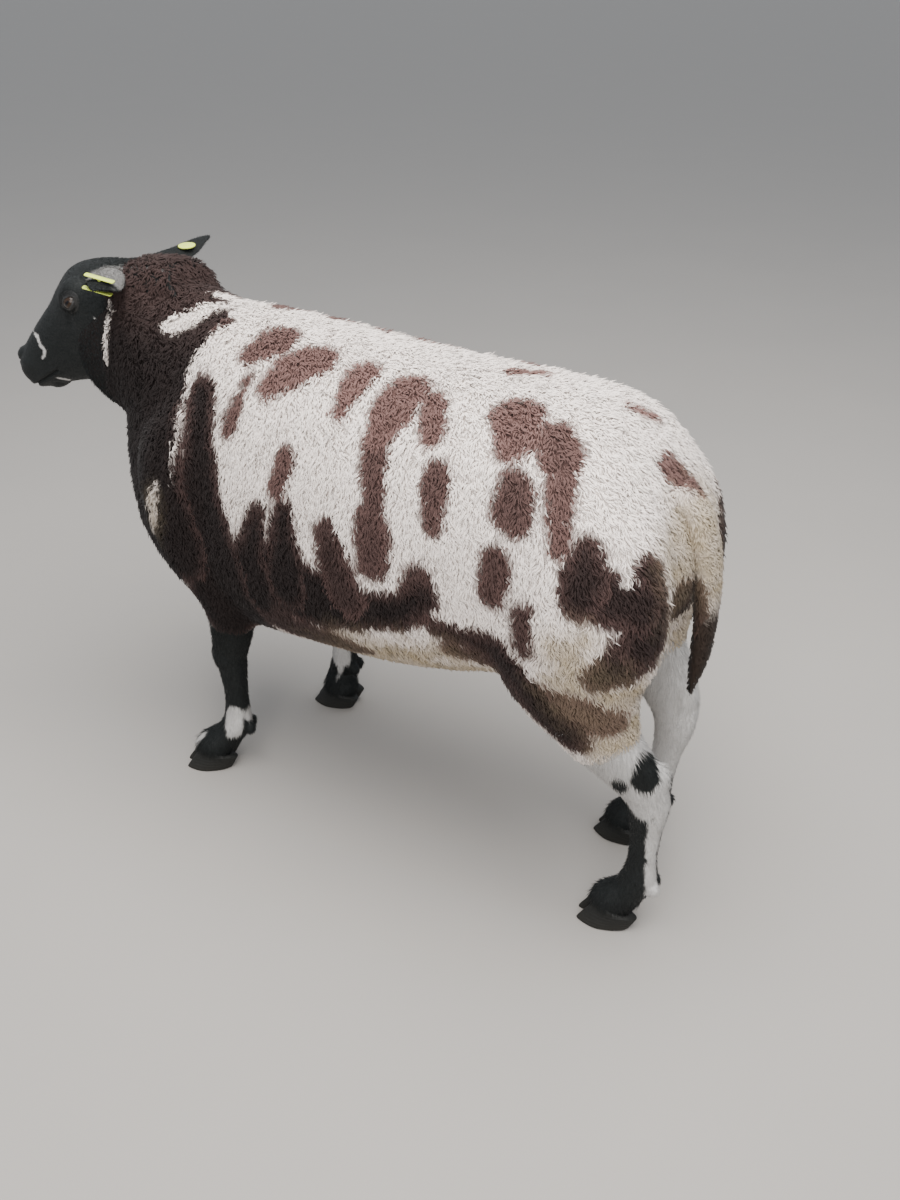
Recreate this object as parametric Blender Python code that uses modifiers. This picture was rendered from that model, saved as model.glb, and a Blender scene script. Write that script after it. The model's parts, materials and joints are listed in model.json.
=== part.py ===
"""Dutch spotted ram, standing still: life-size solids in metres, +Z up, facing -Y, its left side at +X."""
import math
import random

import bmesh
import bpy
from mathutils import Matrix, Vector
from mathutils.bvhtree import BVHTree

NAME = "dutch_spotted_ram"
GAP = 0.0003
MERGE = 0.00003
SEAT_GAP = 0.0005
WOOL_SEAT_GAP = 0.0022
WOOL_SEAT_VOXEL = 0.003
WOOL_SEAT_TRIANGLES = 500

# Fleece: how far the plain core lies inside the tips of the clumps, and the core's fineness
CORE_INSET = 0.014
BODY_VOXEL = 0.014
CORE_TRIANGLES = 1400
SEED = 37

# Clumps of wool: spacing, then half length, half width and how far the top stands over the core
BODY_SPACING = 0.100
BODY_CLUMPS = ((0.080, 0.066, 0.014), (0.074, 0.070, 0.013), (0.086, 0.064, 0.015))
NECK_SPACING = 0.066
NECK_CLUMPS = ((0.056, 0.047, 0.012), (0.051, 0.049, 0.011))
LIMB_SPACING = 0.060
LIMB_CLUMPS = ((0.048, 0.040, 0.011), (0.044, 0.041, 0.010))
TAIL_SPACING = 0.042
TAIL_CLUMPS = ((0.031, 0.020, 0.006), (0.028, 0.018, 0.005))
TAIL_SUNK = 0.005
CLUMP_SUNK = 0.009
CLUMP_SIDES = 6
# Rings of a clump as share of its rise (None: sunk in the core) and share of its size
CLUMP_RINGS = ((None, 0.98), (0.62, 0.66))
# Heights under which the wool of the upper arms and of the hams counts as thin
ARM_THIN_BELOW = 0.330
HAM_THIN_BELOW = 0.420
HAM_THIN_BEHIND = 0.200
# How far past the cut to the head clumps still stand, and the highest and foremost ones of the tail
CLUMP_PAST_CUT = 0.020
TAIL_BARE_ABOVE = 0.600
TAIL_BARE_FRONT = -0.2

# Trunk, from breast to rump: y, height of the top, height of the bottom, half width, height of the widest level
TRUNK = (
    (-0.540, 0.565, 0.370, 0.052, 0.46),
    (-0.514, 0.670, 0.305, 0.098, 0.46),
    (-0.442, 0.728, 0.252, 0.136, 0.45),
    (-0.350, 0.734, 0.236, 0.162, 0.45),
    (-0.230, 0.733, 0.245, 0.186, 0.45),
    (-0.080, 0.726, 0.267, 0.200, 0.45),
    (0.060, 0.722, 0.290, 0.205, 0.46),
    (0.180, 0.722, 0.320, 0.198, 0.50),
    (0.280, 0.714, 0.355, 0.180, 0.54),
    (0.345, 0.676, 0.410, 0.150, 0.55),
    (0.398, 0.606, 0.450, 0.095, 0.54),
    (0.418, 0.560, 0.480, 0.045, 0.52),
)

# Neck: centre (x, y, z), half height and half width of sections square to its length
NECK = (
    (0.000, -0.270, 0.580, 0.136, 0.130),
    (0.000, -0.380, 0.606, 0.129, 0.128),
    (0.000, -0.460, 0.629, 0.124, 0.112),
    (0.003, -0.530, 0.643, 0.129, 0.090),
    (0.008, -0.590, 0.636, 0.116, 0.076),
    (0.014, -0.632, 0.630, 0.084, 0.056),
)

# Ham and upper arm of the left side: centre (x, y, z), half depth fore and aft, half thickness sideways
HAM = (
    (0.070, 0.240, 0.620, 0.110, 0.080),
    (0.100, 0.270, 0.550, 0.138, 0.088),
    (0.118, 0.295, 0.460, 0.130, 0.082),
    (0.120, 0.308, 0.385, 0.100, 0.062),
    (0.113, 0.338, 0.325, 0.068, 0.050),
    (0.108, 0.360, 0.292, 0.056, 0.042),
)
ARM = (
    (0.085, -0.300, 0.600, 0.080, 0.070),
    (0.112, -0.330, 0.520, 0.105, 0.072),
    (0.120, -0.325, 0.420, 0.090, 0.066),
    (0.118, -0.292, 0.340, 0.062, 0.054),
    (0.116, -0.290, 0.290, 0.048, 0.044),
    (0.116, -0.292, 0.262, 0.042, 0.039),
)

# Leg, from its seat inside the fleece down to the pastern: centre (x, y, z), half depth, half thickness
FORE_LEG = (
    (0.116, -0.290, 0.310, 0.036, 0.033),
    (0.116, -0.294, 0.260, 0.033, 0.029),
    (0.116, -0.302, 0.215, 0.027, 0.025),
    (0.117, -0.300, 0.185, 0.022, 0.021),
    (0.118, -0.297, 0.140, 0.018, 0.017),
    (0.118, -0.298, 0.105, 0.019, 0.019),
    (0.120, -0.300, 0.080, 0.023, 0.022),
    (0.128, -0.313, 0.058, 0.022, 0.022),
)
HIND_LEG = (
    (0.116, 0.318, 0.345, 0.056, 0.038),
    (0.109, 0.354, 0.302, 0.047, 0.033),
    (0.099, 0.392, 0.258, 0.038, 0.026),
    (0.091, 0.409, 0.222, 0.030, 0.022),
    (0.087, 0.409, 0.170, 0.021, 0.017),
    (0.086, 0.408, 0.120, 0.019, 0.017),
    (0.086, 0.406, 0.085, 0.024, 0.022),
    (0.090, 0.395, 0.060, 0.023, 0.022),
)

LEG_VOXEL = 0.005
LEG_TRIANGLES = 440
# Rounded joints of the left legs: centre (x, y, z) and half sizes
KNEE = (0.117, -0.304, 0.212, 0.026, 0.027, 0.036)
HOCK = (0.094, 0.424, 0.258, 0.018, 0.022, 0.030)
DEW_CLAW = (0.0105, 0.021, 0.074, 0.0085, 0.0085, 0.0115)

# Sheath on the belly: centre (x, y, z) and half sizes
SHEATH = (0.0, 0.075, 0.302, 0.024, 0.075, 0.024)

# Hoof: length, width, heights of the horn at toe and heel, and the cleft between the claws
HOOF_LENGTH = 0.074
HOOF_WIDTH = 0.058
HOOF_TOE_HEIGHT = 0.040
HOOF_HEEL_HEIGHT = 0.024
CLEFT = 0.004

# Feet: where the middle of each sole stands, and how far the toes turn towards +X
FEET = {
    "front_left": (0.150, -0.342, 38.0),
    "front_right": (-0.108, -0.282, 18.0),
    "hind_left": (0.100, 0.364, 20.0),
    "hind_right": (-0.072, 0.300, 6.0),
}
# How far each leg lies fore or aft of the left one's path, at its seat and at the foot
LEG_SHIFT = {
    "front_left": (0.0, 0.0),
    "front_right": (0.030, 0.034),
    "hind_left": (0.0, 0.0),
    "hind_right": (-0.030, -0.066),
}

# Head: its poll, the way it points, and sections along it as distance, top, bottom and half width
POLL = (0.0, -0.530, 0.770)
HEAD_YAW = math.radians(11.0)
HEAD_PITCH = math.radians(36.0)
HEAD = (
    (-0.060, -0.026, -0.130, 0.050),
    (-0.020, 0.001, -0.148, 0.059),
    (0.030, 0.020, -0.156, 0.066),
    (0.070, 0.041, -0.156, 0.067),
    (0.108, 0.054, -0.150, 0.062),
    (0.148, 0.047, -0.134, 0.051),
    (0.184, 0.035, -0.112, 0.043),
    (0.218, 0.028, -0.093, 0.040),
    (0.252, 0.021, -0.079, 0.038),
    (0.282, 0.012, -0.069, 0.038),
    (0.302, 0.001, -0.061, 0.035),
    (0.313, -0.012, -0.047, 0.026),
)
HEAD_VOXEL = 0.0045
HEAD_TRIANGLES = 1500
EYE_AT = (0.108, 0.0540, 0.005)
EYE_RADIUS = 0.0145
LID_THICK = 0.0032
LID_SIDES = 14
LID_OPENING = (0.0125, 0.0078)
# The slit between the lids: how far it is drawn in at its corners, how its length slopes and leans
LID_POINT = 0.35
LID_SLOPE = 0.18
LID_LEAN = 0.10
# Rounded masses of the head: along, sideways, up, then half sizes; all but the middle ones on both sides
ORBIT = (0.105, 0.044, 0.011, 0.034, 0.022, 0.026)
CHEEK = (0.080, 0.034, -0.088, 0.052, 0.032, 0.052)
LIP = (0.280, 0.017, -0.022, 0.030, 0.023, 0.025)
NOSE_WING = (0.289, 0.017, 0.000, 0.017, 0.013, 0.012)
CHIN = (0.272, 0.0, -0.059, 0.025, 0.022, 0.018)
NOSTRIL = (0.3080, 0.0165, -0.007, 0.0100, 0.0036, 0.0085)
NOSTRIL_TILT = 38.0
# Mouth: where its corners lie, how far forward and out the lips reach, height at the front and at the corners
MOUTH_CORNER = 0.236
MOUTH_REACH = 0.082
MOUTH_HALF_WIDTH = 0.043
MOUTH_FRONT_UP = -0.048
MOUTH_CORNER_UP = -0.056
MOUTH_DEEP = 0.0065
MOUTH_OUT = 0.012
MOUTH_OPEN = 0.0022

# Ears: where they root on the head (along, sideways, up), where they point, their length, width and thickness
EAR_ROOT = {"left": (0.010, 0.054, -0.002), "right": (0.010, 0.054, -0.006)}
EAR_AIM = {"left": (0.82, 0.55, 0.04), "right": (-0.96, 0.02, 0.10)}
# How far each ear is rolled about its own length, in degrees
EAR_ROLL = {"left": 36.0, "right": -52.0}
EAR_LENGTH = 0.112
EAR_WIDTH = 0.050
EAR_THICK = 0.0042
EAR_SUNK = 0.010

# Ear tags: where they pass through the ear (across, along), stud, round button, and the two long flaps
TAG_AT = {"left": (0.004, 0.066), "right": (0.010, 0.054)}
STUD_RADIUS = 0.0025
BUTTON_RADIUS = 0.0135
BACK_RADIUS = 0.0095
FLAP_LENGTH = 0.042
FLAP_WIDTH = 0.015
TAG_THICK = 0.0016
# How far the plates stand off the ear, behind it and in its cup
TAG_STAND = 0.0034
CUP_STAND = {"left": 0.0105, "right": 0.0048}

# Cut between torso and neck, and between neck and head: a point on it and the way its front side faces
NECK_CUT = ((0.0, -0.420, 0.660), (0.0, -0.852, 0.524))
HEAD_CUT = ((0.003, -0.536, 0.670), (0.10, -0.935, 0.34))

# Tail: centre (x, y, z), half depth, half width
TAIL = (
    (0.000, 0.372, 0.625, 0.020, 0.030),
    (0.000, 0.398, 0.590, 0.024, 0.032),
    (0.000, 0.418, 0.530, 0.022, 0.031),
    (0.001, 0.424, 0.460, 0.019, 0.027),
    (0.002, 0.422, 0.400, 0.016, 0.022),
    (0.003, 0.416, 0.345, 0.008, 0.012),
)

# Scrotum, hanging from the groin: centre (x, y, z), half depth, half width
SCROTUM = (
    (0.000, 0.235, 0.345, 0.030, 0.032),
    (0.000, 0.240, 0.315, 0.030, 0.034),
    (0.000, 0.246, 0.285, 0.038, 0.046),
    (0.000, 0.250, 0.250, 0.042, 0.052),
    (0.000, 0.250, 0.222, 0.034, 0.042),
    (0.000, 0.248, 0.206, 0.016, 0.020),
)

SLOTS = {
    "fleece": (0.78, 0.72, 0.66, 1.0),
    "short_hair": (0.03, 0.03, 0.03, 1.0),
    "horn": (0.02, 0.02, 0.02, 1.0),
    "eye": (0.05, 0.03, 0.01, 1.0),
    "tag_yellow": (0.75, 0.80, 0.10, 1.0),
}


def clear_scene():
    for thing in list(bpy.data.objects):
        bpy.data.objects.remove(thing, do_unlink=True)


def collection(name):
    group = bpy.data.collections.new(name)
    bpy.context.scene.collection.children.link(group)
    return group


def material(slot):
    made = bpy.data.materials.get(slot) or bpy.data.materials.new(slot)
    made.use_nodes = True
    made.node_tree.nodes["Principled BSDF"].inputs["Base Color"].default_value = SLOTS[slot]
    return made


def node(name, mesh, slot):
    made = bpy.data.objects.new(name, mesh)
    made.data.materials.clear()
    made.data.materials.append(material(slot))
    PARTS.objects.link(made)
    return made


def scratch(name, mesh):
    made = bpy.data.objects.new(name, mesh)
    made.hide_render = True
    made.display_type = "WIRE"
    GUIDES.objects.link(made)
    return made


def spline(rows, count):
    """Rows of numbers read along a smooth curve through all of them."""
    out = []
    last = len(rows) - 1
    for i in range(count):
        t = last * i / (count - 1)
        k = min(int(t), last - 1)
        f = t - k
        a, b, c, d = (rows[max(0, min(last, k + n))] for n in (-1, 0, 1, 2))
        row = []
        for p, q, r, s in zip(a, b, c, d):
            row.append(0.5 * (2 * q + (r - p) * f + (2 * p - 5 * q + 4 * r - s) * f * f
                              + (3 * q - p - 3 * r + s) * f ** 3))
        out.append(row)
    return out


def ring(centre, side, up, wide, rise, drop, sides, square=2.0):
    """Points round an oval that may be deeper below its centre than above it."""
    power = 2.0 / square
    points = []
    for i in range(sides):
        turn = 2 * math.pi * i / sides
        c, s = math.cos(turn), math.sin(turn)
        high = rise if s > 0 else drop
        across = wide * math.copysign(abs(c) ** power, c)
        points.append(centre + side * across + up * (high * math.copysign(abs(s) ** power, s)))
    return points


def loft(name, rings):
    """Closed mesh through rings of equal length, each end capped by a fan."""
    mesh = bpy.data.meshes.new(name)
    form = bmesh.new()
    rows = [[form.verts.new(p) for p in points] for points in rings]
    sides = len(rows[0])
    for a, b in zip(rows, rows[1:]):
        for i in range(sides):
            j = (i + 1) % sides
            form.faces.new((a[i], a[j], b[j], b[i]))
    for row in (rows[0], rows[-1]):
        middle = form.verts.new(sum((v.co for v in row), Vector()) / sides)
        for i in range(sides):
            form.faces.new((row[i], row[(i + 1) % sides], middle))
    bmesh.ops.recalc_face_normals(form, faces=form.faces)
    form.to_mesh(mesh)
    form.free()
    return mesh


def limb(name, rows, rings, sides, inset=0.0, square=2.0):
    """A limb whose sections stay square to its centre line; inset thins it all round."""
    steps = spline(rows, rings)
    centres = [Vector(row[:3]) for row in steps]
    out = []
    for i, row in enumerate(steps):
        along = (centres[min(i + 1, rings - 1)] - centres[max(i - 1, 0)]).normalized()
        side = Vector((0, 1, 0)).cross(along)
        side = Vector((1, 0, 0)) if side.length < 0.3 else side.normalized()
        deep = along.cross(side).normalized()
        half_deep, half_wide = row[3] - inset, row[4] - inset
        out.append(ring(centres[i], side, deep, half_wide, half_deep, half_deep, sides, square))
    return loft(name, out)


def trunk(name, rings, sides, inset=0.0):
    out = []
    for y, top, bottom, wide, level in spline(TRUNK, rings):
        squeeze = 1.0 - inset / 0.26
        centre = Vector((0, -0.03 + (y + 0.03) * squeeze, level))
        out.append(ring(centre, Vector((1, 0, 0)), Vector((0, 0, 1)), max(wide - inset, 0.02),
                        max(top - level - inset, 0.02), max(level - bottom - inset, 0.02), sides, 2.25))
    return loft(name, out)


def mirrored(rows, shift=(0.0, 0.0)):
    """The same rows on the other side, moved fore or aft by an amount that grows towards the last row."""
    last = len(rows) - 1
    out = []
    for i, row in enumerate(rows):
        move = shift[0] + (shift[1] - shift[0]) * i / last
        out.append((-row[0], row[1] + move) + tuple(row[2:]))
    return out


def apply_modifiers(thing):
    graph = bpy.context.evaluated_depsgraph_get()
    graph.update()
    mesh = bpy.data.meshes.new_from_object(thing.evaluated_get(graph))
    thing.modifiers.clear()
    old = thing.data
    thing.data = mesh
    bpy.data.meshes.remove(old)
    return thing


def boolean(thing, other, how):
    """Cut or join by another object or by a collection, then drop what was used."""
    step = thing.modifiers.new("cut", "BOOLEAN")
    step.operation = how
    step.solver = "MANIFOLD"
    if isinstance(other, bpy.types.Collection):
        step.operand_type = "COLLECTION"
        step.collection = other
    else:
        step.object = other
    apply_modifiers(thing)
    used = list(other.objects) if isinstance(other, bpy.types.Collection) else [other]
    for item in used:
        bpy.data.objects.remove(item, do_unlink=True)


def box_mesh(name, low, high, turn=None):
    mesh = bpy.data.meshes.new(name)
    form = bmesh.new()
    bmesh.ops.create_cube(form, size=1.0)
    size = [high[i] - low[i] for i in range(3)]
    bmesh.ops.scale(form, vec=size, verts=form.verts)
    bmesh.ops.translate(form, vec=[(high[i] + low[i]) / 2 for i in range(3)], verts=form.verts)
    if turn is not None:
        bmesh.ops.transform(form, matrix=turn, verts=form.verts)
    form.to_mesh(mesh)
    form.free()
    return mesh


def frame_at(point, axis, hint=(0, 1, 0)):
    """Matrix whose Z runs along axis, at a point."""
    z = Vector(axis).normalized()
    x = Vector(hint).cross(z)
    x = x.normalized() if x.length > 1e-3 else Vector((1, 0, 0))
    y = z.cross(x)
    turn = Matrix((x, y, z)).transposed().to_4x4()
    turn.translation = Vector(point)
    return turn


def cut_plane(thing, point, axis, keep_behind):
    """Keep what lies behind or before a plane, less half of the gap."""
    size = 2.0
    shift = -GAP / 2 if keep_behind else GAP / 2
    start = Vector(point) + Vector(axis).normalized() * shift
    low, high = ((-size, -size, 0), (size, size, size)) if keep_behind else ((-size, -size, -size), (size, size, 0))
    block = scratch("plane_block", box_mesh("plane_block", low, high, frame_at(start, axis)))
    boolean(thing, block, "DIFFERENCE")


def largest_shell(thing):
    """Drop every loose shell but the largest; shells that only share an edge count as apart."""
    form = bmesh.new()
    form.from_mesh(thing.data)
    bmesh.ops.remove_doubles(form, verts=form.verts, dist=MERGE)
    left = set(form.faces)
    shells = []
    while left:
        stack = [left.pop()]
        shell = set(stack)
        while stack:
            for edge in stack.pop().edges:
                if len(edge.link_faces) != 2:
                    continue
                for face in edge.link_faces:
                    if face in left:
                        left.discard(face)
                        shell.add(face)
                        stack.append(face)
        shells.append(shell)
    shells.sort(key=len)
    for shell in shells[:-1]:
        bmesh.ops.delete(form, geom=list(shell), context="FACES")
    form.to_mesh(thing.data)
    form.free()


def triangles(thing):
    form = bmesh.new()
    form.from_mesh(thing.data)
    bmesh.ops.triangulate(form, faces=form.faces)
    form.to_mesh(thing.data)
    form.free()


def smooth_shade(thing):
    for face in thing.data.polygons:
        face.use_smooth = True


def egg(name, centre, half_sizes, turn=None, sides=16, rings=10):
    """A closed ball with a half size of its own along each axis of a frame."""
    mesh = bpy.data.meshes.new(name)
    form = bmesh.new()
    bmesh.ops.create_uvsphere(form, u_segments=sides, v_segments=rings, radius=1.0)
    bmesh.ops.scale(form, vec=half_sizes, verts=form.verts)
    if turn is not None:
        bmesh.ops.transform(form, matrix=turn, verts=form.verts)
    bmesh.ops.translate(form, vec=centre, verts=form.verts)
    form.to_mesh(mesh)
    form.free()
    return mesh


def blend_masses(name, meshes, voxel, smooth, target):
    """Join closed meshes into one skin, ease the creases where they meet, and thin out its faces."""
    form = bmesh.new()
    for mesh in meshes:
        form.from_mesh(mesh)
        bpy.data.meshes.remove(mesh)
    joined = bpy.data.meshes.new(name)
    form.to_mesh(joined)
    form.free()
    thing = scratch(name, joined)
    grid = thing.modifiers.new("grid", "REMESH")
    grid.mode = "VOXEL"
    grid.voxel_size = voxel
    ease = thing.modifiers.new("ease", "SMOOTH")
    ease.factor = 0.5
    ease.iterations = smooth
    apply_modifiers(thing)
    thin = thing.modifiers.new("thin", "DECIMATE")
    thin.ratio = min(1.0, target / (2.0 * len(thing.data.polygons)))
    apply_modifiers(thing)
    return thing


def fleeced_body(inset):
    """Trunk, hams, upper arms and neck as one skin, its surface set in from the fleece's tips."""
    meshes = [trunk("trunk", 40, 32, inset)]
    for rows, key in ((HAM, "hind_right"), (ARM, "front_right")):
        meshes.append(limb("left_limb", rows, 16, 20, inset))
        start, end = LEG_SHIFT[key]
        meshes.append(limb("right_limb", mirrored(rows, (start * 0.5, (start + end) / 2)), 16, 20, inset))
    meshes.append(limb("neck", NECK, 16, 24, inset))
    meshes.append(egg("sheath", SHEATH[:3], [half - inset * 0.5 for half in SHEATH[3:]]))
    return blend_masses("body", meshes, BODY_VOXEL, 10, CORE_TRIANGLES)


def even_points(thing, spacing_at, tries, draw):
    """Points spread evenly over a surface, with its outward normal at each."""
    mesh = thing.data
    mesh.calc_loop_triangles()
    areas = [tri.area for tri in mesh.loop_triangles]
    picks = draw.choices(mesh.loop_triangles, weights=areas, k=tries)
    kept = []
    for tri in picks:
        a, b, c = (mesh.vertices[i].co for i in tri.vertices)
        u, v = sorted((draw.random(), draw.random()))
        point = a * u + b * (v - u) + c * (1 - v)
        room = spacing_at(point)
        if all((point - other).length > room for other, normal in kept):
            kept.append((point, tri.normal.copy()))
    return kept


def clump_mesh(size, point, normal, draw, sunk, surface):
    """One rounded clump that follows the core: a low dome, its root sunk in, its length lying down the body."""
    half_long, half_wide, rise = (value * draw.uniform(0.92, 1.08) for value in size)
    lay = Vector((draw.uniform(-0.5, 0.5), 0.45, -1.0))
    lay = (lay - normal * lay.dot(normal)).normalized()
    across = normal.cross(lay)
    rings = []
    for share, spread in CLUMP_RINGS:
        level = -sunk if share is None else share * rise
        turn = draw.uniform(0, math.pi)
        points = []
        for i in range(CLUMP_SIDES):
            angle = turn + 2 * math.pi * i / CLUMP_SIDES
            far = spread * draw.uniform(0.92, 1.06)
            place = point + lay * (half_long * far * math.cos(angle)) + across * (half_wide * far * math.sin(angle))
            spot, way, index, distance = surface.find_nearest(place)
            points.append(spot + way.lerp(normal, 0.3).normalized() * level)
        rings.append(points)
    return dome(rings, point + normal * rise, point - normal * sunk * 1.2)


def dome(rings, tip, root):
    mesh = bpy.data.meshes.new("clump")
    form = bmesh.new()
    rows = [[form.verts.new(p) for p in points] for points in rings]
    top, bottom = form.verts.new(tip), form.verts.new(root)
    sides = len(rows[0])
    for i in range(sides):
        j = (i + 1) % sides
        for a, b in zip(rows, rows[1:]):
            form.faces.new((a[i], a[j], b[j]))
            form.faces.new((a[i], b[j], b[i]))
        form.faces.new((rows[-1][i], rows[-1][j], top))
        form.faces.new((rows[0][j], rows[0][i], bottom))
    bmesh.ops.recalc_face_normals(form, faces=form.faces)
    form.to_mesh(mesh)
    form.free()
    return mesh


def add_clumps(thing, spots, sizes_at, draw, sunk=CLUMP_SUNK):
    """Set a clump on every spot and fuse them all with the core in one union."""
    group = collection("clumps")
    corners = [vert.co for vert in thing.data.vertices]
    surface = BVHTree.FromPolygons(corners, [face.vertices for face in thing.data.polygons])
    for point, normal in spots:
        shape = clump_mesh(draw.choice(sizes_at(point)), point, normal, draw, sunk, surface)
        group.objects.link(bpy.data.objects.new("clump", shape))
    boolean(thing, group, "UNION")
    bpy.data.collections.remove(group)
    largest_shell(thing)


def past(cut, point):
    """How far a point lies before a cut."""
    place, way = Vector(cut[0]), Vector(cut[1])
    return (point - place).dot(way.normalized())


def wool_at(point):
    """Spacing and sizes of the clumps at a point of the body."""
    if past(NECK_CUT, point) > 0:
        return NECK_SPACING, NECK_CLUMPS
    behind = point.y > HAM_THIN_BEHIND
    thin_below = HAM_THIN_BELOW if behind and abs(point.x) > HAM[0][0] - HAM[0][4] else ARM_THIN_BELOW
    if point.z < thin_below and abs(point.y) > HAM_THIN_BEHIND:
        return LIMB_SPACING, LIMB_CLUMPS
    return BODY_SPACING, BODY_CLUMPS


def woolly_body():
    """The body's core with clumps of wool set close all over it."""
    draw = random.Random(SEED)
    body = fleeced_body(CORE_INSET)
    triangles(body)
    spots = even_points(body, lambda p: wool_at(p)[0], 9000, draw)
    spots = [spot for spot in spots if past(HEAD_CUT, spot[0]) < CLUMP_PAST_CUT]
    add_clumps(body, spots, lambda p: wool_at(p)[1], draw)
    return body


def leg_rows(key):
    rows = FORE_LEG if key.startswith("front") else HIND_LEG
    start, end = LEG_SHIFT[key]
    if key.endswith("right"):
        rows = mirrored(rows, (start, end))
    return rows


def hoof_frame(key):
    """Local Y runs from toe to heel, Z up, the origin in the middle of the sole."""
    x, y, turn = FEET[key]
    return Matrix.Translation((x, y, 0)) @ Matrix.Rotation(math.radians(turn), 4, "Z")


def coronet(key):
    """Middle of the hoof's top and the way it faces."""
    place = hoof_frame(key)
    height = (HOOF_TOE_HEIGHT + HOOF_HEEL_HEIGHT) / 2
    slope = math.atan2(HOOF_TOE_HEIGHT - HOOF_HEEL_HEIGHT, HOOF_LENGTH * 0.7)
    point = place @ Vector((0, 0.010, height))
    axis = place.to_3x3() @ Vector((0, math.sin(slope), math.cos(slope)))
    return point, axis


def claw_mesh(name, side):
    """One claw: flat sole, rounded outer wall, toe drawn in towards the cleft."""
    rows = []
    half = HOOF_WIDTH / 2
    for level, spread in ((0.0, 1.0), (0.022, 0.96), (0.055, 0.84)):
        points = []
        lean = level * 0.62
        for t in range(12):
            turn = 2 * math.pi * t / 12
            along = math.cos(turn)
            out = math.sin(turn)
            y = -along * HOOF_LENGTH / 2 * spread + lean
            width = half * spread * (1.0 if along < 0.2 else 1.0 - 0.42 * (along - 0.2) ** 1.4)
            x = CLEFT / 2 + (width - CLEFT / 2) * (0.5 + 0.5 * out)
            points.append(Vector((side * x, y, level)))
        rows.append(points)
    return loft(name, rows)


def make_hoof(key):
    place = hoof_frame(key)
    hoof = node("hoof_" + key, claw_mesh("claw", 1), "horn")
    other = scratch("claw_b", claw_mesh("claw_b", -1))
    low, high = (-0.016, 0.004, 0.006), (0.016, HOOF_LENGTH / 2 - 0.002, 0.050)
    heel = scratch("heel", box_mesh("heel", low, high))
    boolean(hoof, heel, "UNION")
    boolean(hoof, other, "UNION")
    hoof.data.transform(place)
    point, axis = coronet(key)
    cut_plane(hoof, point, axis, True)
    triangles(hoof)
    return hoof


def joint_masses(key):
    """The knee or hock, and the pair of dew claws behind the fetlock."""
    front = key.startswith("front")
    x, y, z, *halves = KNEE if front else HOCK
    start, end = LEG_SHIFT[key]
    if key.endswith("right"):
        x = -x
        y += start + (end - start) * 0.38
    out = [egg("joint", (x, y, z), halves)]
    rows = leg_rows(key)
    fetlock = Vector(rows[-2][:3])
    turn = Matrix.Rotation(math.radians(FEET[key][2]), 4, "Z")
    side, back, height, *halves = DEW_CLAW
    for sign in (1, -1):
        place = turn @ Vector((sign * side, back, 0)) + Vector((fetlock.x, fetlock.y, height))
        out.append(egg("dew_claw", place, halves))
    return out


def make_leg(key):
    rows = list(leg_rows(key))
    point, axis = coronet(key)
    end = Vector(point) + Vector(axis) * 0.004
    rows = rows + [(end.x, end.y, end.z, 0.030, 0.025), (end.x - axis.x * 0.02, end.y - axis.y * 0.02,
                                                         end.z - axis.z * 0.02, 0.030, 0.025)]
    blend = blend_masses("leg", [limb("leg", rows, 26, 18)] + joint_masses(key), LEG_VOXEL, 3, LEG_TRIANGLES)
    leg = node("leg_" + key, blend.data.copy(), "short_hair")
    bpy.data.objects.remove(blend, do_unlink=True)
    cut_plane(leg, point, axis, False)
    largest_shell(leg)
    triangles(leg)
    smooth_shade(leg)
    return leg


def head_frame():
    along = Vector((math.sin(HEAD_YAW) * math.cos(HEAD_PITCH), -math.cos(HEAD_YAW) * math.cos(HEAD_PITCH),
                    -math.sin(HEAD_PITCH)))
    left = Vector((math.cos(HEAD_YAW), math.sin(HEAD_YAW), 0))
    up = left.cross(along) * -1
    if up.z < 0:
        up = -up
    return Vector(POLL), along, left, up


def on_head(along_by, side_by, up_by):
    poll, along, left, up = head_frame()
    return poll + along * along_by + left * side_by + up * up_by


def head_mesh(rings, sides):
    poll, along, left, up = head_frame()
    out = []
    for s, top, bottom, wide in spline(HEAD, rings):
        level = top - (top - bottom) * 0.44
        centre = poll + along * s + up * level
        out.append(ring(centre, left, up, wide, top - level, level - bottom, sides, 2.2))
    return loft("head", out)


def head_turn():
    """Turn that takes along, sideways and up of the head to the world's axes."""
    poll, along, left, up = head_frame()
    return Matrix((along, left, up)).transposed().to_4x4()


def head_masses():
    out = []
    for s, side, up, *halves in (ORBIT, CHEEK, LIP, NOSE_WING, CHIN):
        for sign in ((1, -1) if side else (1,)):
            out.append(egg("mass", on_head(s, sign * side, up), halves, head_turn()))
    return out


def mouth_cutter():
    """A thin bent strip that cuts the line of the mouth round the muzzle."""
    rings = []
    steps = 17
    for i in range(steps):
        turn = math.pi * (i / (steps - 1) - 0.5)
        c, q = math.cos(turn) ** 0.9, math.copysign(abs(math.sin(turn)) ** 0.9, turn)
        up = MOUTH_CORNER_UP + (MOUTH_FRONT_UP - MOUTH_CORNER_UP) * c
        points = []
        for grow, high in ((-MOUTH_DEEP, -1), (MOUTH_OUT, -1), (MOUTH_OUT, 1), (-MOUTH_DEEP, 1)):
            s = MOUTH_CORNER + (MOUTH_REACH + grow) * c
            points.append(on_head(s, (MOUTH_HALF_WIDTH + grow) * q, up + high * MOUTH_OPEN / 2))
        rings.append(points)
    return scratch("mouth", loft("mouth", rings))


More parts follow.
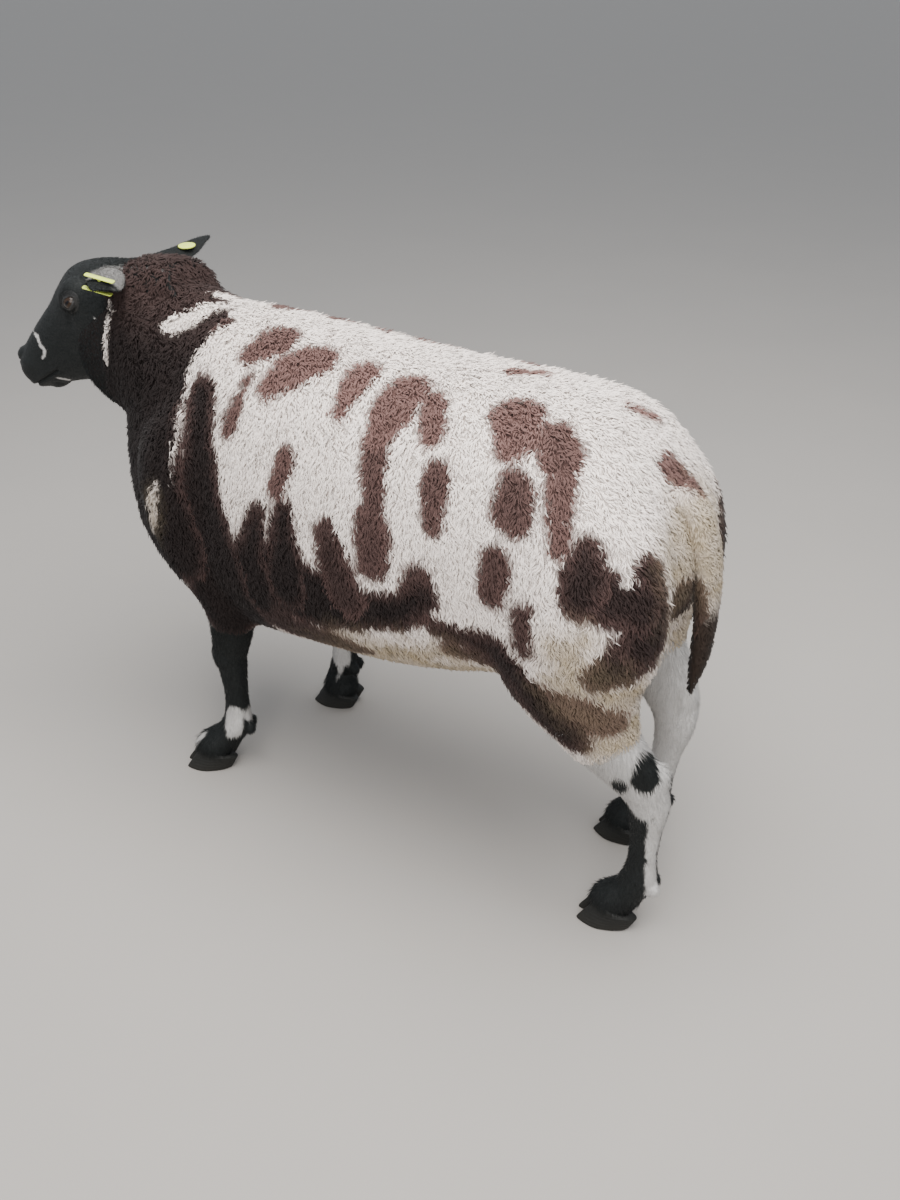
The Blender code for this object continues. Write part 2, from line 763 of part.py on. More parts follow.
def lid_opening(side, sign):
    """An almond-shaped rod through the lids."""
    s, out, up = EYE_AT
    half_long, half_high = LID_OPENING
    rings = []
    for reach in (0.004, 0.040):
        points = []
        for i in range(LID_SIDES):
            turn = 2 * math.pi * i / LID_SIDES
            along = half_long * math.cos(turn)
            high = half_high * math.sin(turn) * (1 - LID_POINT * abs(math.cos(turn)))
            points.append(on_head(s + along + high * LID_LEAN, sign * (out + reach), up + high - along * LID_SLOPE))
        rings.append(points)
    return scratch("opening", loft("opening", rings))


def make_head():
    """The head with lids round the eyes, the line of the mouth and the nostrils."""
    blend = blend_masses("skull", [head_mesh(40, 36)] + head_masses(), HEAD_VOXEL, 4, HEAD_TRIANGLES)
    head = node("head", blend.data.copy(), "short_hair")
    bpy.data.objects.remove(blend, do_unlink=True)
    cut_plane(head, *HEAD_CUT, False)
    boolean(head, mouth_cutter(), "DIFFERENCE")
    for side, sign in (("left", 1), ("right", -1)):
        s, out, up = EYE_AT
        centre = on_head(s, sign * out, up)
        make_eye(side, centre)
        boolean(head, scratch("lids", ball("lids", centre, EYE_RADIUS + LID_THICK, LID_SIDES, 8)), "UNION")
        boolean(head, lid_opening(side, sign), "DIFFERENCE")
        boolean(head, scratch("socket", ball("socket", centre, EYE_RADIUS + GAP * 1.6, LID_SIDES, 8)), "DIFFERENCE")
        s, out, up, *halves = NOSTRIL
        tilt = head_turn() @ Matrix.Rotation(sign * math.radians(NOSTRIL_TILT), 4, "X")
        boolean(head, scratch("nostril", egg("nostril", on_head(s, sign * out, up), halves, tilt, 12, 8)), "DIFFERENCE")
    largest_shell(head)
    triangles(head)
    smooth_shade(head)
    return head


def ball(name, centre, radius, sides, rings):
    mesh = bpy.data.meshes.new(name)
    form = bmesh.new()
    bmesh.ops.create_uvsphere(form, u_segments=sides, v_segments=rings, radius=radius)
    bmesh.ops.translate(form, vec=centre, verts=form.verts)
    form.to_mesh(mesh)
    form.free()
    return mesh


def make_eye(side, centre):
    eye = node("eye_" + side, ball("eye", centre, EYE_RADIUS, LID_SIDES, 8), "eye")
    smooth_shade(eye)
    return eye


def ear_frame(side):
    """Frame at the ear's root whose Z runs out along the ear and Y towards its open front."""
    sign = 1 if side == "left" else -1
    along = head_frame()[1]
    along_head, aside, up = EAR_ROOT[side]
    root = on_head(along_head, sign * aside, up)
    roll = Matrix.Rotation(math.radians(EAR_ROLL[side]), 4, "Z")
    return frame_at(root, Vector(EAR_AIM[side]), hint=along) @ roll


def ear_section(t):
    """Half width, half thickness and depth of the cup at a share of the ear's length."""
    swell = math.sin(math.pi * min(1.0, 0.12 + 0.80 * t)) ** 0.8
    wide = EAR_WIDTH / 2 * (0.42 + 0.62 * swell) * (1 - 0.80 * t ** 3.2)
    thick = EAR_THICK / 2 * (2.4 - 1.6 * min(1.0, t * 2.2))
    cup = 0.34 * wide * math.sin(math.pi * min(1.0, t + 0.12))
    return wide, thick, cup


def make_ear(side):
    """A leaf that is cupped about its length, its root sunk in the head."""
    frame = ear_frame(side)
    rings = []
    steps = 11
    for i in range(steps):
        z = -EAR_SUNK + (EAR_LENGTH + EAR_SUNK) * i / (steps - 1)
        wide, thick, cup = ear_section(max(0.0, z / EAR_LENGTH))
        points = []
        for k in range(12):
            turn = 2 * math.pi * k / 12
            x = wide * math.cos(turn)
            points.append(frame @ Vector((x, thick * math.sin(turn) + cup * (x / wide) ** 2, z)))
        rings.append(points)
    ear = node("ear_" + side, loft("ear", rings), "short_hair")
    across, along = TAG_AT[side]
    hole = scratch("hole", disc("hole", STUD_RADIUS + GAP, -0.03, 0.03, 10))
    hole.data.transform(frame @ Matrix.Translation((across, 0, along)))
    boolean(ear, hole, "DIFFERENCE")
    triangles(ear)
    smooth_shade(ear)
    return ear


def disc(name, radius, low, high, sides):
    """A round plate or stud whose axis is Y."""
    rings = []
    for y in (low, high):
        turns = [2 * math.pi * i / sides for i in range(sides)]
        rings.append([Vector((radius * math.cos(t), y, radius * math.sin(t))) for t in turns])
    return loft(name, rings)


def make_tag(side):
    """A two-part tag: a plate on each side of the ear, joined by a stud through it."""
    frame = ear_frame(side)
    across, along = TAG_AT[side]
    wide, thick, cup = ear_section(along / EAR_LENGTH)
    bend = cup * (across / wide) ** 2
    back = bend - thick - TAG_STAND
    front = bend + thick + CUP_STAND[side]
    made = node("tag_" + side, disc("stud", STUD_RADIUS, back - TAG_THICK / 2, front + TAG_THICK / 2, 10), "tag_yellow")
    for name, y in (("back", back - TAG_THICK), ("front", front)):
        if side == "right":
            plate = disc(name, BUTTON_RADIUS if name == "back" else BACK_RADIUS, y, y + TAG_THICK, 20)
        else:
            low = (-FLAP_LENGTH / 2, y, -FLAP_WIDTH / 2)
            plate = box_mesh(name, low, (FLAP_LENGTH / 2, y + TAG_THICK, FLAP_WIDTH / 2))
        boolean(made, scratch(name, plate), "UNION")
    made.data.transform(frame @ Matrix.Translation((across, 0, along)))
    triangles(made)
    return made


def make_tail():
    draw = random.Random(SEED + 1)
    tail = node("tail", limb("tail", TAIL, 12, 10, 0.004), "fleece")
    triangles(tail)
    spots = even_points(tail, lambda p: TAIL_SPACING, 900, draw)
    spots = [spot for spot in spots if spot[0].z < TAIL_BARE_ABOVE and spot[1].y > TAIL_BARE_FRONT]
    add_clumps(tail, spots, lambda p: TAIL_CLUMPS, draw, TAIL_SUNK)
    return tail


def make_scrotum():
    return node("scrotum", limb("scrotum", SCROTUM, 12, 16), "short_hair")


def grown(thing, by):
    """A copy of an object pushed out along its normals, as a cutter."""
    mesh = thing.data.copy()
    form = bmesh.new()
    form.from_mesh(mesh)
    form.normal_update()
    for vert in form.verts:
        vert.co += vert.normal * by
    form.to_mesh(mesh)
    form.free()
    return scratch("grown", mesh)


def wool_seat(thing):
    """The same cutter for a piece with clumps, evened out so that it can't cross itself."""
    copy = thing.data.copy()
    cutter = blend_masses("seat", [copy], WOOL_SEAT_VOXEL, 0, WOOL_SEAT_TRIANGLES)
    for vert, normal in [(vert, vert.normal.copy()) for vert in cutter.data.vertices]:
        vert.co += normal * WOOL_SEAT_GAP
    return cutter


def make_body():
    body = woolly_body()
    torso = node("torso", body.data.copy(), "fleece")
    neck = node("neck", body.data.copy(), "fleece")
    bpy.data.objects.remove(body, do_unlink=True)
    cut_plane(torso, *NECK_CUT, True)
    cut_plane(neck, *NECK_CUT, False)
    cut_plane(neck, *HEAD_CUT, True)
    for thing in (torso, neck):
        largest_shell(thing)
        triangles(thing)
        smooth_shade(thing)
    return torso, neck


def build():
    clear_scene()
    torso, neck = make_body()
    seated = [make_leg(key) for key in FEET] + [make_tail(), make_scrotum()]
    for key in FEET:
        make_hoof(key)
    head = make_head()
    ears = [make_ear(side) for side in ("left", "right")]
    for side in ("left", "right"):
        make_tag(side)
    for thing in seated:
        cutter = wool_seat(thing) if thing.name == "tail" else grown(thing, SEAT_GAP)
        boolean(torso, cutter, "DIFFERENCE")
        triangles(thing)
        smooth_shade(thing)
    for ear in ears:
        boolean(head, grown(ear, SEAT_GAP), "DIFFERENCE")
        boolean(neck, grown(ear, SEAT_GAP), "DIFFERENCE")
    for thing in (torso, neck, head):
        largest_shell(thing)
        triangles(thing)
    centre_parts()


def centre_parts():
    """Put the middle of the whole box on the Z axis; the soles already stand at height zero."""
    corners = [part.data.vertices[i].co for part in PARTS.objects for i in range(len(part.data.vertices))]
    middle = [-(min(c[k] for c in corners) + max(c[k] for c in corners)) / 2 for k in range(2)]
    for part in PARTS.objects:
        part.data.transform(Matrix.Translation((middle[0], middle[1], 0)))


clear_scene()
PARTS = collection(NAME)
GUIDES = collection("guides")
build()
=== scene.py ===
"""Looks of the dutch spotted ram: skin, fleece, short hair, eyes, horn, ear tags, floor, light and camera."""
import json
import math

import bmesh
import bpy
import numpy as np
from bpy.props import FloatProperty, FloatVectorProperty, IntProperty, PointerProperty
from mathutils import Matrix, Vector
from mathutils.bvhtree import BVHTree

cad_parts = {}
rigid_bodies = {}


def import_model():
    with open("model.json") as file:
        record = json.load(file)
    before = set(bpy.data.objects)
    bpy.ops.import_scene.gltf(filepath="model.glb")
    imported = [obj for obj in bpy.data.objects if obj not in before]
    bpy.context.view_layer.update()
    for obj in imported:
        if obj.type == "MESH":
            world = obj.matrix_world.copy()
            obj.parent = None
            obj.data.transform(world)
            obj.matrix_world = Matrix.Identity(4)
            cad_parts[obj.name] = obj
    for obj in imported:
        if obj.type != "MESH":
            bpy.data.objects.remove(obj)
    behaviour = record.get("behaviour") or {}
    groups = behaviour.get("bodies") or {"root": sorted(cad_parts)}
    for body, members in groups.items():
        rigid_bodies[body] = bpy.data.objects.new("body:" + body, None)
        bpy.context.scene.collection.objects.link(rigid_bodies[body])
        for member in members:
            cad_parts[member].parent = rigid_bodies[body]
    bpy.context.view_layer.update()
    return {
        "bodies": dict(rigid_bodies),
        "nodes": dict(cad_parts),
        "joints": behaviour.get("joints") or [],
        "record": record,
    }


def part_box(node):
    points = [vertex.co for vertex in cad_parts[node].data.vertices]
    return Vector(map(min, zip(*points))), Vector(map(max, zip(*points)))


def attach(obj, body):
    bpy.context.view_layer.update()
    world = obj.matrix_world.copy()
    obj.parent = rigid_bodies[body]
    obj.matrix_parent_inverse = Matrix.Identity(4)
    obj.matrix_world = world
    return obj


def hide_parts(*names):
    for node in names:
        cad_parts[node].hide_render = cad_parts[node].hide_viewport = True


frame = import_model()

bl_info = {
    "name": "Dutch spotted ram",
    "version": (1, 0, 0),
    "blender": (4, 5, 0),
    "location": "View3D > Sidebar > Ram",
    "description": "Dresses the solid ram in skin, wool, hair, horn and ear tags",
    "category": "Object",
}

# Trunk, from breast to rump: y, height of the top, of the bottom, half width, height of the widest level
TRUNK = (
    (-0.540, 0.565, 0.370, 0.052, 0.46),
    (-0.514, 0.670, 0.305, 0.098, 0.46),
    (-0.442, 0.728, 0.252, 0.136, 0.45),
    (-0.350, 0.734, 0.236, 0.162, 0.45),
    (-0.230, 0.733, 0.245, 0.186, 0.45),
    (-0.080, 0.726, 0.267, 0.200, 0.45),
    (0.060, 0.722, 0.290, 0.205, 0.46),
    (0.180, 0.722, 0.320, 0.198, 0.50),
    (0.280, 0.714, 0.355, 0.180, 0.54),
    (0.345, 0.676, 0.410, 0.150, 0.55),
    (0.398, 0.606, 0.450, 0.095, 0.54),
    (0.418, 0.560, 0.480, 0.045, 0.52),
)
# Neck: centre (x, y, z), half height and half width
NECK = (
    (0.000, -0.270, 0.580, 0.136, 0.130),
    (0.000, -0.380, 0.606, 0.129, 0.128),
    (0.000, -0.460, 0.629, 0.124, 0.112),
    (0.003, -0.530, 0.643, 0.129, 0.090),
    (0.008, -0.590, 0.636, 0.116, 0.076),
    (0.014, -0.632, 0.630, 0.084, 0.056),
)
# Ham, upper arm and legs of the left side: centre (x, y, z), half depth fore and aft, half thickness
HAM = (
    (0.070, 0.240, 0.620, 0.110, 0.080),
    (0.100, 0.270, 0.550, 0.138, 0.088),
    (0.118, 0.295, 0.460, 0.130, 0.082),
    (0.120, 0.308, 0.385, 0.100, 0.062),
    (0.113, 0.338, 0.325, 0.068, 0.050),
    (0.108, 0.360, 0.292, 0.056, 0.042),
)
ARM = (
    (0.085, -0.300, 0.600, 0.080, 0.070),
    (0.112, -0.330, 0.520, 0.105, 0.072),
    (0.120, -0.325, 0.420, 0.090, 0.066),
    (0.118, -0.292, 0.340, 0.062, 0.054),
    (0.116, -0.290, 0.290, 0.048, 0.044),
    (0.116, -0.292, 0.262, 0.042, 0.039),
)
FORE_LEG = (
    (0.116, -0.290, 0.310, 0.036, 0.033),
    (0.116, -0.294, 0.260, 0.033, 0.029),
    (0.116, -0.302, 0.215, 0.027, 0.025),
    (0.117, -0.300, 0.185, 0.022, 0.021),
    (0.118, -0.297, 0.140, 0.018, 0.017),
    (0.118, -0.298, 0.105, 0.019, 0.019),
    (0.120, -0.300, 0.080, 0.023, 0.022),
    (0.128, -0.313, 0.058, 0.022, 0.022),
)
HIND_LEG = (
    (0.116, 0.318, 0.345, 0.056, 0.038),
    (0.109, 0.354, 0.302, 0.047, 0.033),
    (0.099, 0.392, 0.258, 0.038, 0.026),
    (0.091, 0.409, 0.222, 0.030, 0.022),
    (0.087, 0.409, 0.170, 0.021, 0.017),
    (0.086, 0.408, 0.120, 0.019, 0.017),
    (0.086, 0.406, 0.085, 0.024, 0.022),
    (0.090, 0.395, 0.060, 0.023, 0.022),
)
# Rounded joints of the left legs and the sheath: centre (x, y, z) and half sizes
KNEE = (0.117, -0.304, 0.212, 0.026, 0.027, 0.036)
HOCK = (0.094, 0.417, 0.258, 0.0175, 0.0185, 0.030)
DEW_CLAW = (0.0105, 0.021, 0.074, 0.0085, 0.0085, 0.0115)
SHEATH = (0.0, 0.075, 0.302, 0.024, 0.075, 0.024)
TAIL = (
    (0.000, 0.372, 0.625, 0.020, 0.030),
    (0.000, 0.398, 0.590, 0.024, 0.032),
    (0.000, 0.418, 0.530, 0.022, 0.031),
    (0.001, 0.424, 0.460, 0.019, 0.027),
    (0.002, 0.422, 0.400, 0.016, 0.022),
    (0.003, 0.416, 0.345, 0.008, 0.012),
)
SCROTUM = (
    (0.000, 0.235, 0.345, 0.030, 0.032),
    (0.000, 0.240, 0.315, 0.030, 0.034),
    (0.000, 0.246, 0.285, 0.038, 0.046),
    (0.000, 0.250, 0.250, 0.042, 0.052),
    (0.000, 0.250, 0.222, 0.034, 0.042),
    (0.000, 0.248, 0.206, 0.016, 0.020),
)
# Feet: middle of each sole and turn of the toes, and how far each leg's path is moved fore or aft
FEET = {
    "front_left": (0.150, -0.342, 38.0),
    "front_right": (-0.108, -0.282, 18.0),
    "hind_left": (0.100, 0.364, 20.0),
    "hind_right": (-0.072, 0.300, 6.0),
}
LEG_SHIFT = {
    "front_left": (0.0, 0.0),
    "front_right": (0.030, 0.034),
    "hind_left": (0.0, 0.0),
    "hind_right": (-0.030, -0.066),
}
HOOF_LENGTH = 0.074
HOOF_WIDTH = 0.058
HOOF_TOE_HEIGHT = 0.040
HOOF_HEEL_HEIGHT = 0.024
CLEFT = 0.004
# Bulb of one heel: centre (x, y, z) and half sizes; rings of a claw: level and share of its full outline
HEEL_BULB = (0.013, HOOF_LENGTH / 2 - 0.010, 0.015, 0.0125, 0.012, 0.0145)
CLAW_RINGS = (
    (0.0, 0.955), (0.0012, 0.99), (0.004, 1.0), (0.012, 0.985),
    (0.022, 0.96), (0.030, 0.93), (0.038, 0.90), (0.046, 0.87),
)

# Head: poll, aim, and sections along it as distance, top, bottom and half width
POLL = (0.0, -0.530, 0.770)
HEAD_YAW = math.radians(11.0)
HEAD_PITCH = math.radians(36.0)
HEAD = (
    (-0.060, -0.040, -0.130, 0.050),
    (-0.020, -0.012, -0.148, 0.059),
    (0.030, 0.015, -0.156, 0.066),
    (0.070, 0.041, -0.156, 0.067),
    (0.108, 0.054, -0.150, 0.062),
    (0.148, 0.047, -0.134, 0.051),
    (0.184, 0.035, -0.112, 0.043),
    (0.218, 0.028, -0.093, 0.040),
    (0.252, 0.021, -0.079, 0.038),
    (0.282, 0.012, -0.069, 0.038),
    (0.302, 0.001, -0.061, 0.035),
    (0.313, -0.012, -0.047, 0.026),
)
# Rounded masses of the head: along, sideways, up, then half sizes
ORBIT = (0.105, 0.044, 0.011, 0.034, 0.022, 0.026)
CHEEK = (0.080, 0.034, -0.088, 0.052, 0.032, 0.052)
LIP = (0.280, 0.017, -0.022, 0.030, 0.023, 0.025)
NOSE_WING = (0.289, 0.017, 0.000, 0.017, 0.013, 0.012)
CHIN = (0.272, 0.0, -0.059, 0.025, 0.022, 0.018)
EYE_AT = (0.108, 0.0540, 0.005)
EYE_RADIUS = 0.0145
LID_HALF = (0.0128, 0.0062)
LID_RIM = (0.0250, 0.0205)
# Rings of the lids: share of the way from slit to rim, and height over the ball
LID_STEPS = (
    (0.00, -0.0010), (0.00, 0.0004), (0.02, 0.0012), (0.10, 0.0017), (0.20, 0.0020), (0.29, 0.0013),
    (0.38, 0.0020), (0.52, 0.0016), (0.68, 0.0010), (0.84, 0.0004), (1.00, 0.0),
)
NOSTRIL = (0.3060, 0.0160, -0.008)
MOUTH_CORNER = 0.236
MOUTH_FRONT_UP = -0.048
MOUTH_CORNER_UP = -0.056

# Sides of the head as names and signs, then the ears and their tags
SIDES = (("left", 1), ("right", -1))
EAR_ROOT = {"left": (0.010, 0.054, -0.002), "right": (0.010, 0.054, -0.006)}
EAR_AIM = {"left": (0.82, 0.55, 0.04), "right": (-0.96, 0.02, 0.10)}
EAR_ROLL = {"left": 36.0, "right": -52.0}
EAR_LENGTH = 0.112
EAR_WIDTH = 0.050
EAR_THICK = 0.0042
EAR_SUNK = 0.010
TAG_AT = {"left": (0.004, 0.066), "right": (0.010, 0.054)}
STUD_RADIUS = 0.0025
BUTTON_RADIUS = 0.0135
BACK_RADIUS = 0.0095
FLAP_LENGTH = 0.042
FLAP_WIDTH = 0.015
TAG_THICK = 0.0016
TAG_STAND = 0.0034
CUP_STAND = {"left": 0.0105, "right": 0.0048}

# How far the skin lies inside the tips of the fleece, and how finely each skin is made
COAT_DEPTH = 0.0080
BODY_VOXEL = 0.0050
HEAD_VOXEL = 0.0018
LEG_VOXEL = 0.0026
# Number of tufts of the smaller pieces, widths of their hairs, and triangles that a piece of coat may have
POLL_LOCKS = 30000
JAW_HAIRS = 150000
LID_HAIRS = 1500
EAR_HAIRS = 5200
SCROTUM_HAIRS = 3600
HAIR_WIDTH = 0.0013
FACE_HAIR_WIDTH = 0.0010
LID_HAIR_WIDTH = 0.0009
SCROTUM_HAIR_WIDTH = 0.0015
COAT_PIECE_TRIANGLES = 190000
# How far tufts are shaded as the skin under them
SKIN_SHADING = {"fleece": 0.82, "short_hair": 0.50}
# Grey of the pale marks on head and ear, as a share of white
PALE_GREY = 0.42

# Dark wool in front of this distance along the ram
NECK_EDGE = -0.322
# Spots of the left side: blackness, then a stroke of points (x, y, z) with the half width at each. Blackness
# is set lower on spots high on the back, which then show browner: painted light from above over the spots'
# own colour.
SPOTS = (
    ("shoulder front", 1.0, (
        (0.130, -0.317, 0.643, 0.017), (0.156, -0.332, 0.598, 0.026), (0.178, -0.330, 0.521, 0.040),
        (0.178, -0.330, 0.419, 0.070))),
    ("shoulder", 1.0, (
        (0.133, -0.289, 0.646, 0.030), (0.158, -0.274, 0.591, 0.033), (0.175, -0.265, 0.508, 0.048),
        (0.179, -0.249, 0.419, 0.068), (0.155, -0.249, 0.328, 0.080))),
    ("shoulder slash", 0.60, (
        (0.118, -0.211, 0.678, 0.011), (0.142, -0.215, 0.645, 0.016), (0.158, -0.223, 0.613, 0.012))),
    ("withers spot", 0.45, ((0.086, -0.225, 0.706, 0.027), (0.059, -0.206, 0.719, 0.034))),
    ("saddle spot", 0.35, (
        (0.124, -0.175, 0.673, 0.021), (0.097, -0.151, 0.698, 0.036), (0.075, -0.127, 0.710, 0.033))),
    ("tilted back spot", 0.25, (
        (0.126, -0.047, 0.673, 0.017), (0.104, -0.044, 0.691, 0.024), (0.073, -0.045, 0.709, 0.023))),
    ("long flank spot, top", 0.35, (
        (0.080, 0.030, 0.705, 0.031), (0.116, 0.028, 0.683, 0.035), (0.145, 0.022, 0.654, 0.023))),
    ("long flank spot, low", 0.70, (
        (0.145, 0.022, 0.654, 0.022), (0.183, 0.046, 0.586, 0.022), (0.194, 0.052, 0.544, 0.033),
        (0.200, 0.053, 0.511, 0.029))),
    ("loin finger", 0.40, ((0.092, 0.072, 0.699, 0.022), (0.130, 0.098, 0.672, 0.020))),
    ("rib spot", 0.60, ((0.169, -0.107, 0.605, 0.020), (0.182, -0.115, 0.565, 0.019))),
    ("mid flank spot", 0.70, ((0.162, 0.126, 0.635, 0.022), (0.184, 0.137, 0.588, 0.021))),
    ("first belly finger", 1.0, (
        (0.188, -0.148, 0.522, 0.017), (0.190, -0.162, 0.473, 0.031), (0.186, -0.177, 0.404, 0.064))),
    ("second belly finger", 1.0, (
        (0.189, -0.101, 0.535, 0.020), (0.194, -0.099, 0.493, 0.032), (0.195, -0.102, 0.432, 0.048))),
    ("third belly finger", 0.85, (
        (0.195, -0.026, 0.529, 0.022), (0.199, -0.013, 0.491, 0.033), (0.201, 0.008, 0.446, 0.040))),
    ("belly band", 1.0, (
        (0.192, -0.147, 0.432, 0.062), (0.197, -0.057, 0.424, 0.057), (0.201, 0.032, 0.436, 0.036),
        (0.201, 0.096, 0.454, 0.030), (0.199, 0.134, 0.486, 0.025))),
    ("hooked finger", 0.85, ((0.199, 0.122, 0.510, 0.024), (0.200, 0.117, 0.464, 0.031))),
    ("flank fold stripe", 0.95, (
        (0.194, 0.150, 0.442, 0.020), (0.184, 0.191, 0.436, 0.023), (0.180, 0.233, 0.423, 0.034),
        (0.180, 0.270, 0.393, 0.033), (0.172, 0.300, 0.354, 0.040), (0.160, 0.322, 0.337, 0.040))),
    ("loin spot", 0.35, ((0.083, 0.191, 0.704, 0.036), (0.114, 0.208, 0.687, 0.031))),
    ("hip spot", 0.55, (
        (0.095, 0.251, 0.695, 0.026), (0.117, 0.272, 0.678, 0.031), (0.140, 0.284, 0.652, 0.021),
        (0.171, 0.304, 0.593, 0.019))),
    ("curved flank spot", 0.70, ((0.157, 0.231, 0.642, 0.028), (0.170, 0.240, 0.614, 0.029))),
    ("low flank spot", 0.75, ((0.186, 0.226, 0.561, 0.022), (0.189, 0.227, 0.517, 0.023))),
    ("dock side", 0.95, (
        (0.085, 0.408, 0.510, 0.020), (0.040, 0.413, 0.502, 0.028), (0.030, 0.410, 0.450, 0.026))),
    ("thigh foot", 0.65, (
        (0.178, 0.305, 0.379, 0.036), (0.170, 0.345, 0.372, 0.038), (0.150, 0.376, 0.366, 0.026))),
    ("fold edge", 0.85, (
        (0.186, 0.165, 0.410, 0.022), (0.176, 0.205, 0.395, 0.030), (0.170, 0.250, 0.375, 0.036))),
    ("belly front", 0.85, (
        (0.176, -0.170, 0.350, 0.055), (0.172, -0.097, 0.335, 0.052), (0.174, -0.041, 0.340, 0.042),
        (0.178, 0.013, 0.352, 0.022))),
    ("thigh spot, front", 0.95, ((0.163, 0.335, 0.592, 0.025), (0.176, 0.340, 0.550, 0.037))),
    ("thigh spot, join", 0.95, ((0.171, 0.359, 0.545, 0.034), (0.146, 0.398, 0.533, 0.040))),
    ("thigh spot, rear", 0.95, (
        (0.130, 0.398, 0.565, 0.028), (0.135, 0.409, 0.518, 0.038), (0.142, 0.410, 0.488, 0.042))),
    ("thigh spot, low", 0.95, (
        (0.150, 0.405, 0.477, 0.042), (0.170, 0.384, 0.452, 0.032), (0.178, 0.369, 0.440, 0.026))),
    ("stifle spot", 0.85, ((0.194, 0.268, 0.502, 0.018), (0.195, 0.272, 0.460, 0.020))),
)
# Faint spots over the spine and the rump, which cross from side to side; their low blackness paints them
# browner, as painted light from above
RIDGE_SPOTS = (
    ("rump spot", 0.35, ((0.002, 0.363, 0.648, 0.022), (-0.016, 0.384, 0.616, 0.027))),
    ("first ridge fleck", 0.10, ((-0.009, 0.131, 0.720, 0.012), (-0.027, 0.164, 0.718, 0.014))),
    ("second ridge fleck", 0.10, ((-0.021, 0.297, 0.703, 0.011), (-0.037, 0.314, 0.692, 0.011))),
)
# White lines in the dark wool of the neck, and stains of the yard in the white wool
WHITE_LINES = (
    ("shoulder line", (
        (0.074, -0.304, 0.711, 0.007), (0.113, -0.322, 0.669, 0.0055), (0.147, -0.319, 0.621, 0.005),
        (0.165, -0.317, 0.583, 0.005), (0.177, -0.317, 0.542, 0.004), (0.183, -0.318, 0.512, 0.001))),
    ("crest streak", (
        (0.076, -0.396, 0.708, 0.013), (0.056, -0.378, 0.720, 0.014), (0.033, -0.370, 0.728, 0.016),
        (0.012, -0.358, 0.732, 0.014), (-0.007, -0.331, 0.731, 0.014))),
    ("chest tuft", (
        (0.178, -0.350, 0.515, 0.004), (0.180, -0.361, 0.492, 0.010), (0.178, -0.368, 0.462, 0.012),
        (0.172, -0.378, 0.425, 0.006))),
)
CHEEK_LINE = ("cheek line", (
    (0.072, -0.527, 0.720, 0.0030), (0.079, -0.519, 0.706, 0.0042), (0.088, -0.527, 0.675, 0.0060),
    (0.091, -0.527, 0.648, 0.0055), (0.090, -0.530, 0.629, 0.0030)))
NECK_STRIPE = ("neck stripe", (
    (0.043, -0.297, 0.726, 0.008), (0.051, -0.321, 0.722, 0.015), (0.075, -0.338, 0.708, 0.019),
    (0.095, -0.351, 0.688, 0.024)))
THIGH_NOTCH = ("thigh notch", ((0.141, 0.379, 0.582, 0.010), (0.147, 0.383, 0.566, 0.007)))
STAINS = (
    ("chest tuft", ((0.180, -0.361, 0.492, 0.012), (0.176, -0.370, 0.440, 0.012))),
    ("belly", (
        (0.178, -0.016, 0.340, 0.040), (0.188, 0.085, 0.370, 0.034), (0.186, 0.155, 0.400, 0.030))),
    ("under the belly", (
        (0.120, -0.030, 0.290, 0.090), (0.120, 0.080, 0.310, 0.080), (0.120, 0.170, 0.340, 0.070))),
    ("belly edge", (
        (0.181, -0.020, 0.350, 0.036), (0.184, 0.060, 0.368, 0.036), (0.186, 0.120, 0.382, 0.034))),
    ("thigh", ((0.191, 0.335, 0.465, 0.036), (0.180, 0.340, 0.430, 0.044))),
    ("lower thigh", (
        (0.178, 0.339, 0.405, 0.055), (0.160, 0.372, 0.385, 0.062), (0.140, 0.390, 0.345, 0.055))),
    ("rear", ((0.022, 0.398, 0.597, 0.034), (0.060, 0.405, 0.562, 0.046), (0.060, 0.410, 0.440, 0.050))),
)
# White marks of the black face: strokes as for the spots
FACE_MARKS = (
    ("nose stripe", (
        (0.058, -0.732, 0.640, 0.0026), (0.069, -0.710, 0.637, 0.0030), (0.072, -0.705, 0.628, 0.0032),
        (0.072, -0.695, 0.617, 0.0030), (0.072, -0.697, 0.609, 0.0026), (0.073, -0.703, 0.604, 0.0018))),
    ("cheek line, top", ((0.067, -0.530, 0.718, 0.0016), (0.069, -0.532, 0.703, 0.0026))),
    ("cheek line, upper", (
        (0.070, -0.538, 0.692, 0.0046), (0.070, -0.544, 0.677, 0.0038), (0.069, -0.548, 0.667, 0.0034))),
    ("cheek line, low", (
        (0.068, -0.552, 0.654, 0.0032), (0.067, -0.555, 0.638, 0.0024), (0.060, -0.568, 0.613, 0.0016))),
    ("cheek tip, upper", ((0.073, -0.561, 0.692, 0.0014), (0.071, -0.544, 0.689, 0.0033))),
    ("cheek tip, lower", ((0.070, -0.566, 0.659, 0.0014), (0.068, -0.552, 0.657, 0.0027))),
    ("chin", ((0.058, -0.690, 0.570, 0.0030), (0.048, -0.678, 0.565, 0.0036))),
)
PALE_EAR_MARKS = (
    ("ear root", (
        (0.051, -0.573, 0.755, 0.008), (0.042, -0.559, 0.760, 0.010), (0.036, -0.534, 0.765, 0.009))),
    ("poll streak", (
        (0.027, -0.534, 0.770, 0.005), (0.025, -0.496, 0.772, 0.004), (0.020, -0.462, 0.768, 0.003))),
)
